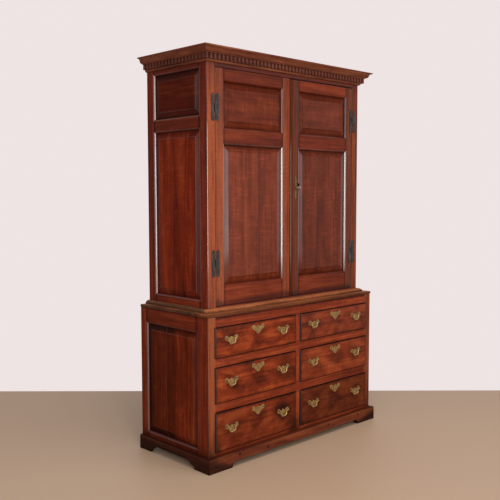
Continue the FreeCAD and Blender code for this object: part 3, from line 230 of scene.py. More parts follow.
def add_layer(mesh, title, values, domain):
    """A named layer of numbers or vectors on a mesh's points, edges or faces."""
    kind, field = ("FLOAT", "value") if values.ndim == 1 else ("FLOAT_VECTOR", "vector")
    mesh.attributes.new(title, kind, domain).data.foreach_set(field, values.astype(np.float64).reshape(-1))


def welded_boards(mesh):
    """Loose CAD triangles as closed boards: (points, triangles, board of each point).

    Corners at one place get one number. Two triangles are neighbours where exactly one edge runs each way
    between two places; the lowest number spreads over neighbours until each board has its own.
    """
    mesh.calc_loop_triangles()
    corners = numbers(mesh.loop_triangles, "vertices", 3, np.int64)
    steps = np.round(numbers(mesh.vertices, "co", 3) * WELD_STEPS).astype(np.int64)
    spots, number = np.unique(steps, axis=0, return_inverse=True)
    faces = number.reshape(-1)[corners]
    faces = faces[(faces != np.roll(faces, 1, axis=1)).all(axis=1)]
    starts, ends = faces.reshape(-1), np.roll(faces, -1, axis=1).reshape(-1)
    owner = np.repeat(np.arange(len(faces)), 3)
    there, back = starts * len(spots) + ends, ends * len(spots) + starts
    order = np.argsort(there)
    ranked = there[order]
    low, high = np.searchsorted(ranked, back, "left"), np.searchsorted(ranked, back, "right")
    own_low, own_high = np.searchsorted(ranked, there, "left"), np.searchsorted(ranked, there, "right")
    single = (high - low == 1) & (own_high - own_low == 1)
    first, second = owner[single], owner[order[low[single]]]
    label = np.arange(len(faces))
    while True:
        lowest = np.minimum(label[first], label[second])
        spread = label.copy()
        np.minimum.at(spread, first, lowest)
        np.minimum.at(spread, second, lowest)
        spread = spread[spread]
        if (spread == label).all():
            break
        label = spread
    pairs = np.stack([faces.reshape(-1), np.repeat(label, 3)], axis=1)
    kept, index = np.unique(pairs, axis=0, return_inverse=True)
    board = np.unique(kept[:, 1], return_inverse=True)[1].reshape(-1)
    return spots[kept[:, 0]] / WELD_STEPS, index.reshape(-1, 3), board


def new_piece(name, body, mesh, finish):
    """An object that rides a body and shows the given finish."""
    mesh.materials.append(finish)
    piece = bpy.data.objects.new(name, mesh)
    scene.collection.objects.link(piece)
    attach(piece, body)
    return piece


def bevelled(piece, title, width, segments, chosen, rubbed):
    """Edges chosen by angle or by weight and rounded to a width, in the rubbed finish if there is one."""
    bevel = piece.modifiers.new(title, "BEVEL")
    bevel.width, bevel.segments, bevel.limit_method = width, segments, chosen
    bevel.angle_limit = ARRIS_ANGLE
    bevel.use_clamp_overlap, bevel.harden_normals = False, True
    if rubbed:
        piece.data.materials.append(rubbed)
        bevel.material = 1


def eased(piece, width, rubbed=None):
    """Edges sharper than ARRIS_ANGLE rounded to a small width."""
    bevelled(piece, "arris", width, 2, "ANGLE", rubbed)


def worn_corner(piece, corner, rubbed):
    """The edges at the outer corner (x, y) of a case, which hands have rounded more than any other."""
    mesh = piece.data
    ends = numbers(mesh.edges, "vertices", 2, np.int64)
    x, y, _ = numbers(mesh.vertices, "co", 3).T
    there = (np.abs(np.abs(x) - corner[0]) < CORNER_NEAR) & (np.abs(y - corner[1]) < CORNER_NEAR)
    add_layer(mesh, "bevel_weight_edge", there[ends].all(axis=1), "EDGE")
    bevelled(piece, "worn_corner", CORNER_WIDTH, 4, "WEIGHT", rubbed)


def flat_faces_joined(mesh):
    """Neighbouring triangles of one plane made one face, so that the shading and the bevels run clean."""
    shape = bmesh.new()
    shape.from_mesh(mesh)
    bmesh.ops.dissolve_limit(shape, angle_limit=FLAT_ANGLE, verts=shape.verts, edges=shape.edges)
    shape.to_mesh(mesh)
    shape.free()
    mesh.shade_smooth()
    mesh.set_sharp_from_angle(angle=SMOOTH_ANGLE)


def grain_layers(points, board, hidden):
    """The layers of each point, with the grain along its board's longest side, and its board's middle.

    grain is the place within the board as (along, across, through) plus a shift of the board's own; near and
    far are the distances to the board's ends and edges, less what is hidden in joints; tint is the board's
    own shade, from 0 to 1. Distances grow SEAM_SCALE times as fast from an edge that is glued to the next
    board, so that its seam is a thin line.
    """
    count = board.max() + 1
    low, high = np.full((count, 3), np.inf), np.full((count, 3), -np.inf)
    np.minimum.at(low, board, points)
    np.maximum.at(high, board, points)
    axes = np.argsort(low - high, axis=1, kind="stable")
    covered = np.empty((count, 3))
    np.put_along_axis(covered, axes, np.append(hidden, 0.0)[None].repeat(count, axis=0), 1)
    apart = np.maximum(low[:, None] - high[None], low[None] - high[:, None])
    glued = (np.sort(apart, axis=2)[:, :, 1] < -GLUED_OVERLAP) & (apart.max(axis=2) < GLUED_GAP)
    glued &= ~np.eye(count, dtype=bool)
    above = (glued[:, :, None] & (low[None] > high[:, None] - TOUCHING)).any(axis=1)
    below = (glued[:, :, None] & (high[None] < low[:, None] + TOUCHING)).any(axis=1)

    def clear(distance, seam):
        """The distance, faster from a seam, less what the joint covers elsewhere."""
        speed = np.take_along_axis(np.where(seam, SEAM_SCALE, 1), axes, 1)[board]
        return distance * speed - np.take_along_axis(np.where(seam, 0.0, covered), axes, 1)[board]

    near = np.take_along_axis(points - low[board], axes[board], 1)
    far = np.take_along_axis(high[board] - points, axes[board], 1)
    middle = (low + high) / 2
    tint = np.mod(np.abs(np.sin(middle @ TINT_SEED)) * TINT_SPREAD, 1.0)
    return {"grain": near + np.outer(tint, BOARD_SHIFT)[board], "near": clear(near, below),
            "far": clear(far, above), "tint": tint[board]}, middle[board]


def polish_layers(mesh, gloss, shine, raw, rear):
    """The layers of each face: wax, its gloss; slope, 1 on mouldings and rounded edges; dry, 1 if unpolished.

    gloss is the wax on faces to the front, on faces to the side and on mouldings, which are dusty where they
    face up, down or back; it is times shine above TOP_PANELS. raw names the sides that were never polished,
    those to the back or to the inside, and rear is the y behind which nothing was.
    """
    front_gloss, side_gloss, moulding_gloss = gloss
    normal, centre = numbers(mesh.polygons, "normal", 3), numbers(mesh.polygons, "center", 3)
    square = np.abs(normal) > SQUARE_ON
    slope = ~square.any(axis=1)
    clean = 1 - np.minimum(np.abs(normal[:, 2]) * DUST_BY_TILT, DUST_MOST)
    moulding = moulding_gloss * clean * np.where(normal[:, 1] > TURNED_BACK, DULL_BACK, 1.0)
    wax = np.where(square[:, 1], front_gloss, np.where(slope, moulding, side_gloss))
    wax = wax * np.where(centre[:, 2] < TOP_PANELS, 1.0, shine)
    sides = {"back": normal[:, 1] > MOSTLY, "inside": normal[:, 0] * np.sign(centre[:, 0]) < -MOSTLY}
    dry = np.any([centre[:, 1] > rear] + [sides[title] for title in raw], axis=0)
    return {"wax": wax, "slope": slope, "dry": dry}


def boards(node, body, finish, hidden=(0.0, 0.0), arris=0.0008, level=0.0, tone=(1.0, 1.0),
           corner=None, rubbed=None, gloss=(0.09, 0.02, 1.0), shine=1.0, raw=(), rear=np.inf):
    """A CAD node's boards in oak, with the layers that the oak reads, and their arrises softened.

    tone is how dark boards are below and above TOP_PANELS, their own tone and, where the upper boards are
    darker, painted shade of the cornice; level is the height of a drawer's handles. The finish rubbed is on
    the arrises, or only on the worn outer corner (x, y) where there is one.
    """
    points, faces, board = welded_boards(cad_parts[node].data)
    mesh = bpy.data.meshes.new(node + "_wood")
    mesh.from_pydata(points.tolist(), [], faces.tolist())
    layers, middle = grain_layers(points, board, hidden)
    layers["level"] = np.full(len(points), level)
    layers["tone"] = np.where(middle[:, 2] < TOP_PANELS, *tone)
    for title, values in layers.items():
        add_layer(mesh, title, values, "POINT")
    flat_faces_joined(mesh)
    for title, values in polish_layers(mesh, gloss, shine, raw, rear).items():
        add_layer(mesh, title, values, "FACE")
    piece = new_piece(node + "_wood", body, mesh, finish)
    if corner:
        worn_corner(piece, corner, rubbed)
    eased(piece, arris, None if corner else rubbed)
    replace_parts(piece, node)


class Oak(Finish):
    """Oak under construction: its place, the layers of its board, and the noises that run along its grain."""

    def __init__(self, name):
        super().__init__(bpy.data.materials.new(name))
        self.spot, grain = self.place(), self.layer("grain", 1)
        self.x, self.y, self.z = self.axes(self.spot)
        self.tint, self.slope = self.layer("tint"), self.layer("slope")
        self.streak = self.noise(grain, (2.6, 60, 60), 6, 0.68, 0.5)
        self.band = self.noise(grain, (1.2, 11, 11), 3, 0.5, 0.8)
        self.pores = self.noise(grain, (30, 900, 900), 2, 0.6)
        self.rays = self.noise(grain, (95, 14, 30), 3, 0.55, 0.6).between(0.5, 0.68)
        self.cloud = self.noise(grain, (7, 12, 12), 5, 0.6, 0.9)
        self.small = self.noise(self.spot, (55, 55, 55), 4, 0.65)

    def layer(self, title, out=2):
        """A layer of the piece, as a number or, from output 1, as a vector."""
        return self.add("ShaderNodeAttribute", {"attribute_name": title}, {}, out)


BANDING, BOARD_CONTRAST, RAMP = 0.5, 0.1, (0.26, 0.5, 0.72)
FADE_DEPTH, FADE_RIGHT, FADE_HEIGHTS = 0.003, (0.3, 0.5), (0.3, 0.75)
RAY_PALE, PORE_DARK = (1.5, 1.5, 1.5), (0.45, 0.36, 0.3)
JOINT_DIRT_AND_SHADE, SPOT_DIRT = (0.2, 0.15, 0.13), (0.3, 0.24, 0.2)
RAW_DARK, RAW_PALE = (0.09, 0.045, 0.022, 1), (0.3, 0.19, 0.11, 1)
OAK_BUMP, OAK_RELIEF = 0.08, 0.0006
WAX_COAT = {"Specular IOR Level": 0.02, "Coat IOR": 2.8, "Coat Roughness": 0.33}
RUBBED_HEIGHT, RUBBED_REACH, RUBBED_RAGGED = 1.28, (0.24, 0.42), 0.3
LOWER_CASE_TOP, LOWER_RUBBED, SIDE_START, SIDE_RUBBED = (0.7, 0.76), 0.6, (-0.16, -0.15), 0.8
UNRUBBED_LOSS, MEETING_GLOSS = 0.75, 0.2


def faded(oak, colour, face, pale, strength, height):
    """Colour of a front at y = face that hands have faded, most at one height and less to the right."""
    front = (1 - oak.y.between(face, face + FADE_DEPTH)) * (1 - oak.x.between(*FADE_RIGHT) * 0.45)
    hands = 1 - (abs(oak.z - height) + (oak.cloud - 0.5) * 0.3).between(*FADE_HEIGHTS) * 0.85
    share = front * hands * strength * (0.3 + oak.streak.between(0.3, 0.66) * 0.9)
    return oak.mix(share, colour, (*pale, 1))


def waxed(oak, wax, meeting):
    """Gloss of the wax: mouldings shine about RUBBED_HEIGHT, on the lower case and on the sides.

    meeting is the x within which the doors' edges are dull.
    """
    ragged = (oak.noise(oak.spot, (4, 4, 4), 1, 0.5) - 0.5) * RUBBED_RAGGED
    reached = 1 - (abs(oak.z - RUBBED_HEIGHT) + ragged).between(*RUBBED_REACH)
    reached = reached.math("MAXIMUM", (1 - oak.z.between(*LOWER_CASE_TOP)) * LOWER_RUBBED)
    reached = reached.math("MAXIMUM", oak.y.between(*SIDE_START) * SIDE_RUBBED)
    gloss, patchy = (oak.layer("wax"), oak.slope) if wax is None else (wax, 1.0)
    gloss = gloss * (1.0 - patchy * (UNRUBBED_LOSS - reached))
    if meeting:
        gloss = gloss * (MEETING_GLOSS + (1 - MEETING_GLOSS) * abs(oak.x).between(meeting * 0.8, meeting))
    return gloss


def oak_finish(name, dark, middle, pale, streaks=0.85, figure=0.3, fleck=0.3, grime_and_shade=0.7, reach=0.005,
               rough=0.4, hollow=0.4, dirt_and_shade=(0.25, 0.2, 0.18), worn=None, marks=(), meeting=0.0, wax=None):
    """Oak: streaks along the grain, pores, ray flecks across it, clouded figure, dirt and painted shade by
    joints.

    The colour runs from dark to pale with the sum of streaks, bands, figure and the board's tint. reach is how
    far the dirt and painted shade creep from a joint, hollow how much of the dark tint lies on mouldings and
    rounded edges, as dirt in their hollows and as painted shade, worn is what faded() takes, marks are
    functions that add one more mark to the colour, of use or of painted shade, and wax is one gloss in place
    of the piece's own.
    """
    oak = Oak(name)
    depth = 0.5 + (oak.streak - 0.5) * streaks + (oak.band - 0.5) * BANDING \
        + (oak.tint - 0.5) * BOARD_CONTRAST + (oak.cloud - 0.5) * figure
    stops = list(zip(RAMP, (dark, middle, pale)))
    colour = oak.add("ShaderNodeValToRGB", {"stops": stops}, {"Fac": depth})
    if worn:
        colour = faded(oak, colour, *worn)
    colour = oak.tinted(oak.rays * fleck, colour, RAY_PALE)
    colour = oak.tinted(oak.pores.between(0.55, 0.75) * 0.45, colour, PORE_DARK)
    # Painted shade with dirt: each board darkens towards its ends and edges, where shade falls in the joints'
    # corners.
    ends = [end for title in ("near", "far") for end in oak.axes(oak.layer(title, 1))[:2]]
    edge = ends[0].math("MINIMUM", ends[1]).math("MINIMUM", ends[2].math("MINIMUM", ends[3]))
    joint = 1 - (edge + (oak.small - 0.5) * reach * 1.6).between(0.0, reach)
    colour = oak.tinted(joint * grime_and_shade, colour, JOINT_DIRT_AND_SHADE)
    # Mouldings and rounded edges take the dark tint: dirt in their hollows and painted shade.
    colour = oak.tinted(oak.slope * hollow * (0.4 + oak.small * 1.2), colour, dirt_and_shade)
    colour = oak.tinted(oak.small.between(0.62, 0.74) * 0.55, colour, SPOT_DIRT)
    for mark in marks:
        colour = mark(oak, colour)
    tone = oak.layer("tone")
    colour = oak.tinted(1.0, colour, oak.add("ShaderNodeCombineXYZ", {}, {"X": tone, "Y": tone, "Z": tone}))
    colour = oak.mix(oak.layer("dry"), colour, oak.mix(depth, RAW_DARK, RAW_PALE))
    relief = oak.bump(OAK_BUMP, OAK_RELIEF, oak.streak * 0.5 + oak.pores * 0.4 + oak.rays * 0.1)
    polish = oak.small * 0.16 + joint * 0.2 + oak.cloud * 0.14 + (rough - 0.15)
    return oak.surface(WAX_COAT, Base_Color=colour, Roughness=polish, Normal=relief,
                       Coat_Weight=waxed(oak, wax, meeting))


post_oak = oak_finish("post_oak", (0.055, 0.006, 0.0022), (0.125, 0.015, 0.0055), (0.24, 0.035, 0.011),
                      worn=(UPPER_FACE, (0.7, 0.155, 0.041), 1.2, 1.3), streaks=1.1)
rail_oak = oak_finish("rail_oak", (0.06, 0.007, 0.0025), (0.14, 0.0185, 0.006), (0.25, 0.042, 0.013),
                      grime_and_shade=0.85)
side_oak = oak_finish("side_oak", (0.075, 0.0085, 0.003), (0.18, 0.02, 0.006), (0.3, 0.05, 0.013),
                      fleck=0.45, figure=0.4, grime_and_shade=0.6, reach=0.03, hollow=0.2)
rubbed_oak = oak_finish("rubbed_oak", (0.1, 0.016, 0.006), (0.26, 0.05, 0.017), (0.46, 0.1, 0.035),
                        wax=0.75)
FIELD_COLOURS = (0.06, 0.008, 0.003), (0.15, 0.025, 0.009), (0.27, 0.055, 0.02)
field_oak = oak_finish("field_oak", *FIELD_COLOURS, wax=0.07)
side_field_oak = oak_finish("side_field_oak", *FIELD_COLOURS, wax=0.16)
boards("upper_posts", "carcase", post_oak, corner=UPPER_CORNER, rubbed=rubbed_oak, gloss=(0.09, 0.02, 0.8),
       raw=ROUGH_SIDES)
# Painted shade: the lower tones above TOP_PANELS darken the top rails and the side's top panels, as the
# cornice shades them.
boards("upper_rails", "carcase", rail_oak, hidden=TENON, tone=(1.12, 0.75), raw=ROUGH_SIDES)
boards("upper_side_panels", "carcase", side_oak, hidden=TONGUE, arris=0.0014, tone=(0.95, 0.42),
       rubbed=side_field_oak, gloss=(0.07, 0.005, 0.12), raw=ROUGH_SIDES)


# Inside of the case: floor and roof, shelves on battens, upright back boards and the drawers' runners.
# Planed oak that was never polished; the boards lie between the posts and rails that carry them.

NO_GLOSS = (0.0, 0.0, 0.0)
dry_oak = oak_finish("dry_oak", (0.09, 0.045, 0.022), (0.19, 0.11, 0.058), (0.3, 0.19, 0.11), grime_and_shade=0.4,
                     rough=0.62)
for inside in ("upper_boards", "upper_back_boards", "shelves", "drawer_runners", "lower_back_boards"):
    boards(inside, "carcase", dry_oak, gloss=NO_GLOSS)


# Cornice and waist moulding: planed lengths of oak, mitred at the corners and pinned on.
# The dentil courses in the cornice are nearly black.

BEHIND_SHADE_TINT = (0.28, 0.38, 0.5)


def painted_shade_behind(start):
    """Painted shade on the sides behind y = start, more of it on mouldings."""
    def mark(oak, colour):
        # Painted shade: side faces behind start are darkened, most on mouldings.
        shade_share = oak.y.between(start, start + 0.03) * (0.45 + oak.slope * 0.5) * (0.55 + oak.small * 0.9)
        return oak.tinted(shade_share, colour, BEHIND_SHADE_TINT)
    return mark


moulded_oak = oak_finish("moulded_oak", (0.07, 0.018, 0.011), (0.21, 0.06, 0.03), (0.43, 0.15, 0.07),
                         hollow=0.0)
dentil_oak = oak_finish("dentil_oak", (0.035, 0.009, 0.005), (0.095, 0.024, 0.013), (0.17, 0.045, 0.024),
                        grime_and_shade=0.35, reach=0.004)
# The waist oak is much paler than the rest: worn edges, and partly painted light on the moulding's tops, which
# face the lamps.
waist_oak = oak_finish("waist_oak", (0.16, 0.048, 0.02), (0.35, 0.112, 0.043), (0.6, 0.215, 0.083),
                       hollow=0.0, marks=[painted_shade_behind(-0.2)])
boards("cornice", "carcase", moulded_oak, tone=(0.85, 0.85), gloss=(0.07, 0.04, 0.12))
boards("waist_moulding", "carcase", waist_oak, rubbed=rubbed_oak, gloss=(0.07, 0.04, 0.12))
boards("dentil_courses", "carcase", dentil_oak, gloss=(0.08, 0.05, 0.1))


# Lower case: a top board with a rounded edge on framed sides, with rails and muntins between the drawers.
# Oak, joined like the upper case; its front corner is faded by hands, and its foot darker towards the floor
# and stained by water.

LOWER_FACE, LOWER_CORNER, LIP = -0.2485, (0.624, -0.2485), (0.0, 0.007)
FOOT_STAINS = ((-0.025, 0.095, 0.085), (-0.125, 0.195, 0.075), (-0.57, 0.11, 0.07))
STAIN_BLACK, LOW_BLACK = (0.2, 0.19, 0.19), (0.12, 0.13, 0.15)
LEFT_FOOT, RIGHT_FOOT = (-0.64, -0.5), (0.5, 0.64)


def stained(oak, colour):
    """Mark of the black stains at the foot, each an (x, z, radius) with a clouded edge."""
    for stain_x, stain_z, radius in FOOT_STAINS:
        beside, over = oak.x - stain_x, oak.z - stain_z
        distance = (beside * beside + over * over).math("SQRT")
        black = 1 - (distance / radius + (oak.cloud - 0.5) * 1.2).between(0.2, 1.0)
        colour = oak.tinted(black * 0.85, colour, STAIN_BLACK)
    return colour


def darker_below(height):
    """Darker towards the floor: black to about a height, most at the left foot, less at the right one and
    between.
    """
    def mark(oak, colour):
        top = (1 - oak.x.between(*LEFT_FOOT) + oak.x.between(*RIGHT_FOOT) * 0.5 + 0.3) * height
        low = 1 - ((oak.z + (oak.small - 0.5) * 0.03) / top).between(0.3, 1.1)
        return oak.tinted(low * 0.95, colour, LOW_BLACK)
    return mark


lower_oak = oak_finish("lower_oak", (0.065, 0.008, 0.003), (0.14, 0.0195, 0.0065), (0.26, 0.045, 0.014),
                       worn=(LOWER_FACE, (0.62, 0.17, 0.064), 1.25, 0.7), marks=[darker_below(0.1)])
divider_oak = oak_finish("divider_oak", (0.08, 0.012, 0.004), (0.21, 0.03, 0.009), (0.38, 0.076, 0.023),
                         grime_and_shade=0.9, reach=0.006, marks=[stained, darker_below(0.1)])
lower_side_oak = oak_finish("lower_side_oak", (0.046, 0.006, 0.002), (0.115, 0.015, 0.004),
                            (0.21, 0.035, 0.011), figure=0.4, grime_and_shade=0.7, reach=0.03, hollow=0.2,
                            marks=[painted_shade_behind(0.0)])
boards("lower_top_board", "carcase", waist_oak, gloss=(0.07, 0.04, 0.3))
boards("lower_posts", "carcase", lower_oak, corner=LOWER_CORNER, rubbed=field_oak, gloss=(0.06, 0.02, 0.4),
       raw=ROUGH_SIDES)
boards("drawer_frame", "carcase", divider_oak, hidden=LIP, gloss=(0.05, 0.03, 0.3), raw=("back",))
boards("lower_side_rails", "carcase", lower_oak, hidden=TENON, raw=ROUGH_SIDES)
boards("lower_side_panels", "carcase", lower_side_oak, hidden=TONGUE, arris=0.0014, tone=(1.2, 1.2),
       rubbed=field_oak, gloss=(0.07, 0.005, 0.08), raw=ROUGH_SIDES)


# Plinth: a front board with a shallow arch and two side boards with bracket feet, planted on and pegged.
# The feet are darker towards the floor; the four pegs through the front board show as dark round ends.

PEGS = ((-0.442, 0.056), (-0.246, 0.0435), (0.226, 0.054), (0.486, 0.056))
PEG_RADIUS, PEG_PROUD, PLINTH_FACE = 0.0065, 0.0004, -0.2735
HEAD_SHARES, HEAD_SKIRT, MERGED, CREASE = (0.0, 0.35, 0.62, 0.85, 1.0), 0.0004, 1e-6, math.radians(50)


def round_grids(name, grids):
    """Closed surface through each grid of points (rows, columns, 3), joined round its columns.

    The first and the last row of a grid lie at one place each, where its points are merged into a pole.
    """
    whole = bmesh.new()
    for points in grids:
        rows, columns = points.shape[:2]
        number = np.arange(rows * columns).reshape(rows, columns)
        across = np.roll(number, -1, axis=1)
        quads = np.stack([number[:-1], across[:-1], across[1:], number[1:]], axis=-1).reshape(-1, 4)
        part = bpy.data.meshes.new(name)
        part.from_pydata(points.reshape(-1, 3).tolist(), [], quads.tolist())
        whole.from_mesh(part)
        bpy.data.meshes.remove(part)
    bmesh.ops.remove_doubles(whole, verts=whole.verts, dist=MERGED)
    bmesh.ops.recalc_face_normals(whole, faces=whole.faces)
    mesh = bpy.data.meshes.new(name)
    whole.to_mesh(mesh)
    whole.free()
    mesh.shade_smooth()
    mesh.set_sharp_from_angle(angle=CREASE)
    return mesh


def round_heads(name, spots, radius, proud, sides=14):
    """Heads proud of a face towards -Y: y = face - proud (1 - s^2), at the radius s R, 0 <= s <= 1.

    Each spot is the (x, y, z) of its middle on the face. A skirt and a flat back close each head.
    """
    share = np.array(HEAD_SHARES + (1.0, 0.0))
    rise = np.append(proud * (1 - np.array(HEAD_SHARES) ** 2), (-HEAD_SKIRT, -HEAD_SKIRT))
    angle = np.linspace(0, 2 * np.pi, sides, endpoint=False)
    shape = np.stack([np.outer(share, np.cos(angle)) * radius, np.tile(-rise[:, None], sides),
                      np.outer(share, np.sin(angle)) * radius], axis=-1)
    return round_grids(name, [shape + np.array(spot) for spot in spots])


def peg_finish():
    """End grain of the pegs: nearly black, with browner pores."""
    peg = Finish(bpy.data.materials.new("peg_end"))
    pores = peg.noise(peg.place(), (900, 900, 900), 3, 0.6)
    colour = peg.mix(pores, (0.006, 0.003, 0.002, 1), (0.03, 0.01, 0.005, 1))
    return peg.surface({"Roughness": 0.6, "Specular IOR Level": 0.05}, Base_Color=colour)


plinth_oak = oak_finish("plinth_oak", (0.06, 0.012, 0.006), (0.17, 0.036, 0.014), (0.3, 0.074, 0.026),
                        grime_and_shade=0.6, marks=[darker_below(0.09)])
boards("plinth_boards", "carcase", plinth_oak, tone=(0.85, 0.85), gloss=(0.05, 0.03, 0.2))
peg_mesh = round_heads("plinth_pegs", [(px, PLINTH_FACE, pz) for px, pz in PEGS], PEG_RADIUS, PEG_PROUD)
new_piece("plinth_pegs", "carcase", peg_mesh, peg_finish())


# Doors: oak stiles, rails and fielded panels, framed up like the sides; the long panels are of two boards
# each. A rounded bead runs down the right door's edge. Inside, the doors were left unpolished.

DOOR_REAR, DOOR_FOOT, DOOR_TOP, MEETING = -0.1755, 0.785, 1.906, 0.03
RIGHT_OF_GAP, BEAD_SHADE = (0.0, 0.004), (0.066, 0.096)
HINGE_STILE, UPPER_THIRD = (-0.45, -0.4), (1.45, 1.75)
# The right door is darker: partly its own tone, partly painted shade where the light falls off to the right.
# Where a door's upper boards are darker, that is partly painted shade of the cornice.
DOOR_TONES = {"left": {"stiles": (1.0, 1.0), "rails": (0.95, 0.78), "panels": (0.91, 0.85), "shine": 0.6},
              "right": {"stiles": (0.6, 0.6), "rails": (0.8, 0.95), "panels": (0.84, 0.82), "shine": 1.0}}


def scuffs_and_gap_shadow(oak, colour):
    """Mark of the doors' dirty lower edges, and painted shadow of the gap along the right door's top edge."""
    kicked = 1 - (oak.z + (oak.band - 0.5) * 0.07 - DOOR_FOOT).between(0.0, 0.03)
    colour = oak.tinted(kicked * (0.4 + oak.streak * 0.9), colour, (0.3, 0.28, 0.28))
    # Painted shadow: a near-black line along the right door's top edge, for the shade in the gap above it.
    painted_gap_shadow = oak.z.between(DOOR_TOP, DOOR_TOP + 0.002) * oak.x.between(*RIGHT_OF_GAP)
    return oak.tinted(painted_gap_shadow, colour, (0.07, 0.06, 0.06))


def shaded(oak, colour):
    """Mark of the stiles: painted shade with dirt of hands beside the right door's bead, where the doors meet,
    and darker in the left hinge stile's upper third.
    """
    # Painted shade, with dirt of hands, beside the bead where the doors meet.
    beside = oak.x.between(*RIGHT_OF_GAP) * (1 - oak.x.between(*BEAD_SHADE))
    colour = oak.tinted(beside * 0.5, colour, (0.42, 0.3, 0.34))
    hinge_side = oak.z.between(*UPPER_THIRD) * (1 - oak.x.between(*HINGE_STILE))
    return oak.tinted(hinge_side * 0.5, colour, (0.5, 0.4, 0.38))


stile_oak = oak_finish("stile_oak", (0.08, 0.013, 0.005), (0.19, 0.039, 0.0135), (0.33, 0.074, 0.024),
                       worn=(UPPER_FACE, (0.31, 0.07, 0.022), 0.5, 1.05), meeting=MEETING, grime_and_shade=0.45,
                       streaks=1.1, marks=[shaded, scuffs_and_gap_shadow])
door_rail_oak = oak_finish("door_rail_oak", (0.08, 0.011, 0.004), (0.17, 0.0235, 0.0065),
                           (0.28, 0.048, 0.014), grime_and_shade=0.55, reach=0.004, streaks=1.1, marks=[scuffs_and_gap_shadow])
panel_oak = oak_finish("panel_oak", (0.07, 0.0105, 0.0045), (0.15, 0.0255, 0.009), (0.25, 0.049, 0.018),
                       streaks=0.55, figure=0.4, fleck=0.7, grime_and_shade=0.5, reach=0.022, hollow=0.1)
for hand, tones in DOOR_TONES.items():
    door = f"{hand}_door"
    boards(door + "_stiles", door, stile_oak, tone=tones["stiles"], raw=("back",), rear=DOOR_REAR)
    boards(door + "_rails", door, door_rail_oak, hidden=TENON, tone=tones["rails"],
           gloss=(0.06, 0.02, 1.0), raw=("back",), rear=DOOR_REAR)
    boards(door + "_panels", door, panel_oak, hidden=TONGUE, arris=0.0014, tone=tones["panels"],
           rubbed=field_oak, gloss=(0.078, 0.04, 0.28), shine=tones["shine"], raw=("back",))


# Hinges: wrought iron H hinges, blackened, with a pin through the knuckles of their two shaped leaves.
# One leaf lies on the post and one on the door, and five rose-headed nails hold each of them.

HINGE_X, HINGE_LEVELS, LEAF_FACE, LEAF_EASE = 0.519, (1.725, 0.985), -0.193, 0.0004
LEAF_MIDDLE, NAIL_STEPS = 0.0145, (-0.055, -0.031, 0.0, 0.031, 0.055)
NAIL_RADIUS, NAIL_PROUD = 0.0034, 0.0014


def iron_finish():
    """Blackened iron: pitted all over, grey where it is rubbed, brown where it rusts."""
    iron = Finish(bpy.data.materials.new("black_iron"))
    place = iron.place()
    pits = iron.noise(place, (260, 260, 260), 5, 0.6)
    rust = iron.noise(place, (60, 60, 60), 4, 0.6).between(0.5, 0.75)
    rubbed = iron.noise(place, (90, 90, 35), 4, 0.6).between(0.48, 0.62)
    colour = iron.mix(rubbed, (0.009, 0.007, 0.006, 1), (0.05, 0.044, 0.04, 1))
    colour = iron.mix(rust * 0.6, colour, (0.05, 0.02, 0.012, 1))
    return iron.surface({"Specular IOR Level": 0.4}, Base_Color=colour, Roughness=pits * 0.3 + 0.3,
                        Normal=iron.bump(0.3, 0.0006, pits))


def metal_node(node, body, finish, ease):
    """A CAD node of metal as it is, with its edges eased."""
    points, faces, _ = welded_boards(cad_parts[node].data)
    mesh = bpy.data.meshes.new(node + "_metal")
    mesh.from_pydata(points.tolist(), [], faces.tolist())
    flat_faces_joined(mesh)
    piece = new_piece(node + "_metal", body, mesh, finish)
    eased(piece, ease)
    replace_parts(piece, node)


black_iron = iron_finish()
metal_node("hinge_post_leaves", "carcase", black_iron, LEAF_EASE)
nail_spots = {"carcase": [], "left_door": [], "right_door": []}
for hand, turn in (("left", -1), ("right", 1)):
    metal_node(f"{hand}_door_hinge_leaves", f"{hand}_door", black_iron, LEAF_EASE)
    for owner, out in (("carcase", 1), (f"{hand}_door", -1)):
        nail_spots[owner].extend((turn * (HINGE_X + out * LEAF_MIDDLE), LEAF_FACE, hinge_level + step)
                                 for hinge_level in HINGE_LEVELS for step in NAIL_STEPS)
for owner, spots in nail_spots.items():
    nails = round_heads(f"{owner}_hinge_nails", spots, NAIL_RADIUS, NAIL_PROUD, sides=8)
    new_piece(f"{owner}_hinge_nails", owner, nails, black_iron)


# Lock and key of the right door: a steel case with a sliding bolt on the door's back, and on its front a
# tall narrow brass plate, through which a steel key with a ring bow goes into the case.

def steel_finish(name, bright, stain_brown):
    """Old steel: bright where it is rubbed, brown with stains elsewhere."""
    steel = Finish(bpy.data.materials.new(name))
    stain = steel.noise(steel.place(), (120, 120, 120), 5, 0.6)
    colour = steel.mix(stain.between(0.35, 0.65), (*bright, 1), (*stain_brown, 1))
    return steel.surface({"Metallic": 1.0}, Base_Color=colour, Roughness=stain * 0.3 + 0.25)


def brass_finish(name, clean, dull, rough):
    """Old brass: clean where hands rub it, dull and brown elsewhere, finely pitted."""
    brass = Finish(bpy.data.materials.new(name))
    place = brass.place()
    stain = brass.noise(place, (150, 150, 150), 5, 0.65)
    pits = brass.noise(place, (420, 420, 420), 3, 0.6)
    colour = brass.mix(stain.between(0.38, 0.66), (*clean, 1), (*dull, 1))
    return brass.surface({"Metallic": 0.7}, Base_Color=colour, Roughness=stain * 0.3 + rough,
                         Normal=brass.bump(0.25, 0.0004, pits))


worn_steel = steel_finish("worn_steel", (0.25, 0.23, 0.21), (0.13, 0.105, 0.085))
key_steel = steel_finish("key_steel", (0.75, 0.7, 0.66), (0.36, 0.3, 0.26))
lock_brass = brass_finish("lock_brass", (0.2, 0.12, 0.055), (0.08, 0.045, 0.025), 0.34)
metal_node("lock_case", "right_door", worn_steel, 0.0005)
metal_node("lock_bolt", "lock_bolt", worn_steel, 0.0004)
metal_node("key", "key", key_steel, 0.0006)
metal_node("door_escutcheon", "right_door", lock_brass, 0.0004)


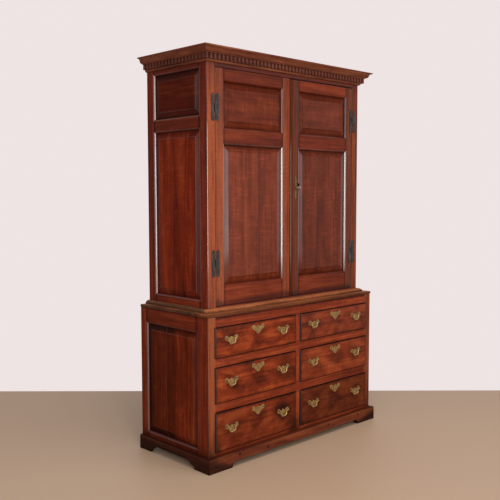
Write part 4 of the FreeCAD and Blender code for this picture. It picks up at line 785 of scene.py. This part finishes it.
# Drawers: lipped fronts of figured oak lapped over dovetailed boxes, each with two brass handles and a
# keyhole plate. A bail is one round wire, thicker in the grip, whose ends turn out into the posts.

BAIL_SPAN, BAIL_PIN, BAIL_NECK, BAIL_BEND = 0.062, 0.005, 0.0065, 0.0045
BAIL_DROP, BAIL_CORNER, BAIL_GRIP, BAIL_Y = 0.026, 0.013, 0.004, -0.2646
WIRE_THIN, WIRE_THICK, WIRE_SIDES, BEND_POINTS = 0.0019, 0.0026, 12, 7
DRAWER_MIDDLE, HANDLE_SPREAD, LIP_BACK, PLATE_EASE = 0.2995, 0.18, -0.247, 0.0004
HANDLE_LEVELS = {"top": 0.632, "middle": 0.428, "bottom": 0.2015}
HALO_DROP, HALO_REACH, HALO_STRENGTH = 0.012, (0.015, 0.085), 0.6
DRAWER_LOOKS = {"top_left": (1.06, 0.045), "top_right": (0.9, 0.09), "middle_left": (1.0, 0.045),
                "middle_right": (0.88, 0.075), "bottom_left": (0.7, 0.045), "bottom_right": (0.42, 0.05)}


def arc(centre_x, centre_z, radius, start, end):
    """Points of an arc in the bail's plane, as (x, z) rows."""
    angle = np.radians(np.linspace(start, end, BEND_POINTS))
    return np.stack([centre_x + radius * np.cos(angle), centre_z + radius * np.sin(angle)], axis=1)


def bail_mesh(name, middle, level):
    """Tube round the bail's centre line: p(s) + r(s) (cos a Y + sin a N(s)), N square to it in its plane.

    r grows from the thin pins to the thick middle of the grip as thin + (thick - thin) sin^2(pi s).
    """
    neck, arm = BAIL_SPAN / 2 - BAIL_NECK, BAIL_SPAN / 2 - BAIL_NECK - BAIL_BEND
    bend = arc(neck, -BAIL_BEND, BAIL_BEND, 90, 180)
    corner = arc(arm - BAIL_CORNER, BAIL_CORNER - BAIL_DROP, BAIL_CORNER, 0, -90)
    half = np.concatenate([[[BAIL_SPAN / 2 + BAIL_PIN, 0]], bend, corner, [[BAIL_GRIP, -BAIL_DROP]]])
    line = np.concatenate([half, half[::-1] * np.array([-1, 1])])
    length = np.append(0, np.cumsum(np.linalg.norm(np.diff(line, axis=0), axis=1)))
    radius = WIRE_THIN + (WIRE_THICK - WIRE_THIN) * np.sin(np.pi * length / length[-1]) ** 2
    slope = np.gradient(line, axis=0)
    slope /= np.linalg.norm(slope, axis=1)[:, None]
    angle = np.linspace(0, 2 * np.pi, WIRE_SIDES, endpoint=False)
    out = radius[:, None] * np.cos(angle)
    square = radius[:, None] * np.sin(angle)
    points = np.stack([middle + line[:, :1] - slope[:, 1:] * square, BAIL_Y + out,
                       level + line[:, 1:] + slope[:, :1] * square], axis=-1)
    tips = points[[0, -1]].mean(axis=1, keepdims=True).repeat(WIRE_SIDES, axis=1)
    return round_grids(name, [np.concatenate([tips[:1], points, tips[1:]])])


def hands_and_shade(oak, colour):
    """Mark of hands, halos round the keyhole and the two handles, and painted shade at the left drawers' right
    ends.

    A halo's distance is that to the nearest of the three, a little below their level.
    """
    beside = abs(abs(oak.x) - DRAWER_MIDDLE)
    beside = beside.math("MINIMUM", abs(beside - HANDLE_SPREAD))
    over = oak.z - oak.layer("level") + HALO_DROP
    distance = (beside * beside + over * over).math("SQRT")
    halo = 1 - (distance + (oak.cloud - 0.5) * 0.09).between(*HALO_REACH)
    colour = oak.tinted(halo * HALO_STRENGTH, colour, (0.34, 0.26, 0.22))
    # Painted shade: the left drawers darken towards their right ends, for the shadow by the middle muntin.
    painted_end_shade = oak.x.between(-0.2, -0.03) * (1 - oak.x.between(-0.01, 0.01)) * (0.1 + oak.cloud * 0.45)
    return oak.tinted(painted_end_shade, colour, (0.42, 0.36, 0.34))


plate_brass = brass_finish("plate_brass", (0.435, 0.278, 0.102), (0.14, 0.08, 0.031), 0.22)
bail_brass = brass_finish("bail_brass", (0.66, 0.47, 0.2), (0.26, 0.165, 0.065), 0.1)
# The near-black tint on the drawers' rounded lips is painted shadow of the gap round each drawer.
drawer_oak = oak_finish("drawer_oak", (0.06, 0.009, 0.003), (0.23, 0.032, 0.0075), (0.4, 0.078, 0.02),
                        streaks=0.6, figure=0.8, fleck=0.25, grime_and_shade=0.6, reach=0.018, hollow=1.1,
                        dirt_and_shade=(0.1, 0.09, 0.09), marks=[hands_and_shade, stained])
for row, handle_level in HANDLE_LEVELS.items():
    for hand, turn in (("left", -1), ("right", 1)):
        drawer = f"{row}_{hand}_drawer"
        front_tone, front_wax = DRAWER_LOOKS[f"{row}_{hand}"]
        boards(drawer + "_front", drawer, drawer_oak, level=handle_level, tone=(front_tone, front_tone),
               gloss=(front_wax, 0.03, 0.2), raw=("back",), rear=LIP_BACK)
        boards(drawer + "_box", drawer, dry_oak, gloss=NO_GLOSS)
        metal_node(drawer + "_brasses", drawer, plate_brass, PLATE_EASE)
        for side, out in (("left", -1), ("right", 1)):
            bail = f"{drawer}_{side}_bail"
            wire = bail_mesh(bail + "_wire", turn * DRAWER_MIDDLE + out * HANDLE_SPREAD, handle_level)
            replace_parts(new_piece(bail + "_wire", bail, wire, bail_brass), bail)
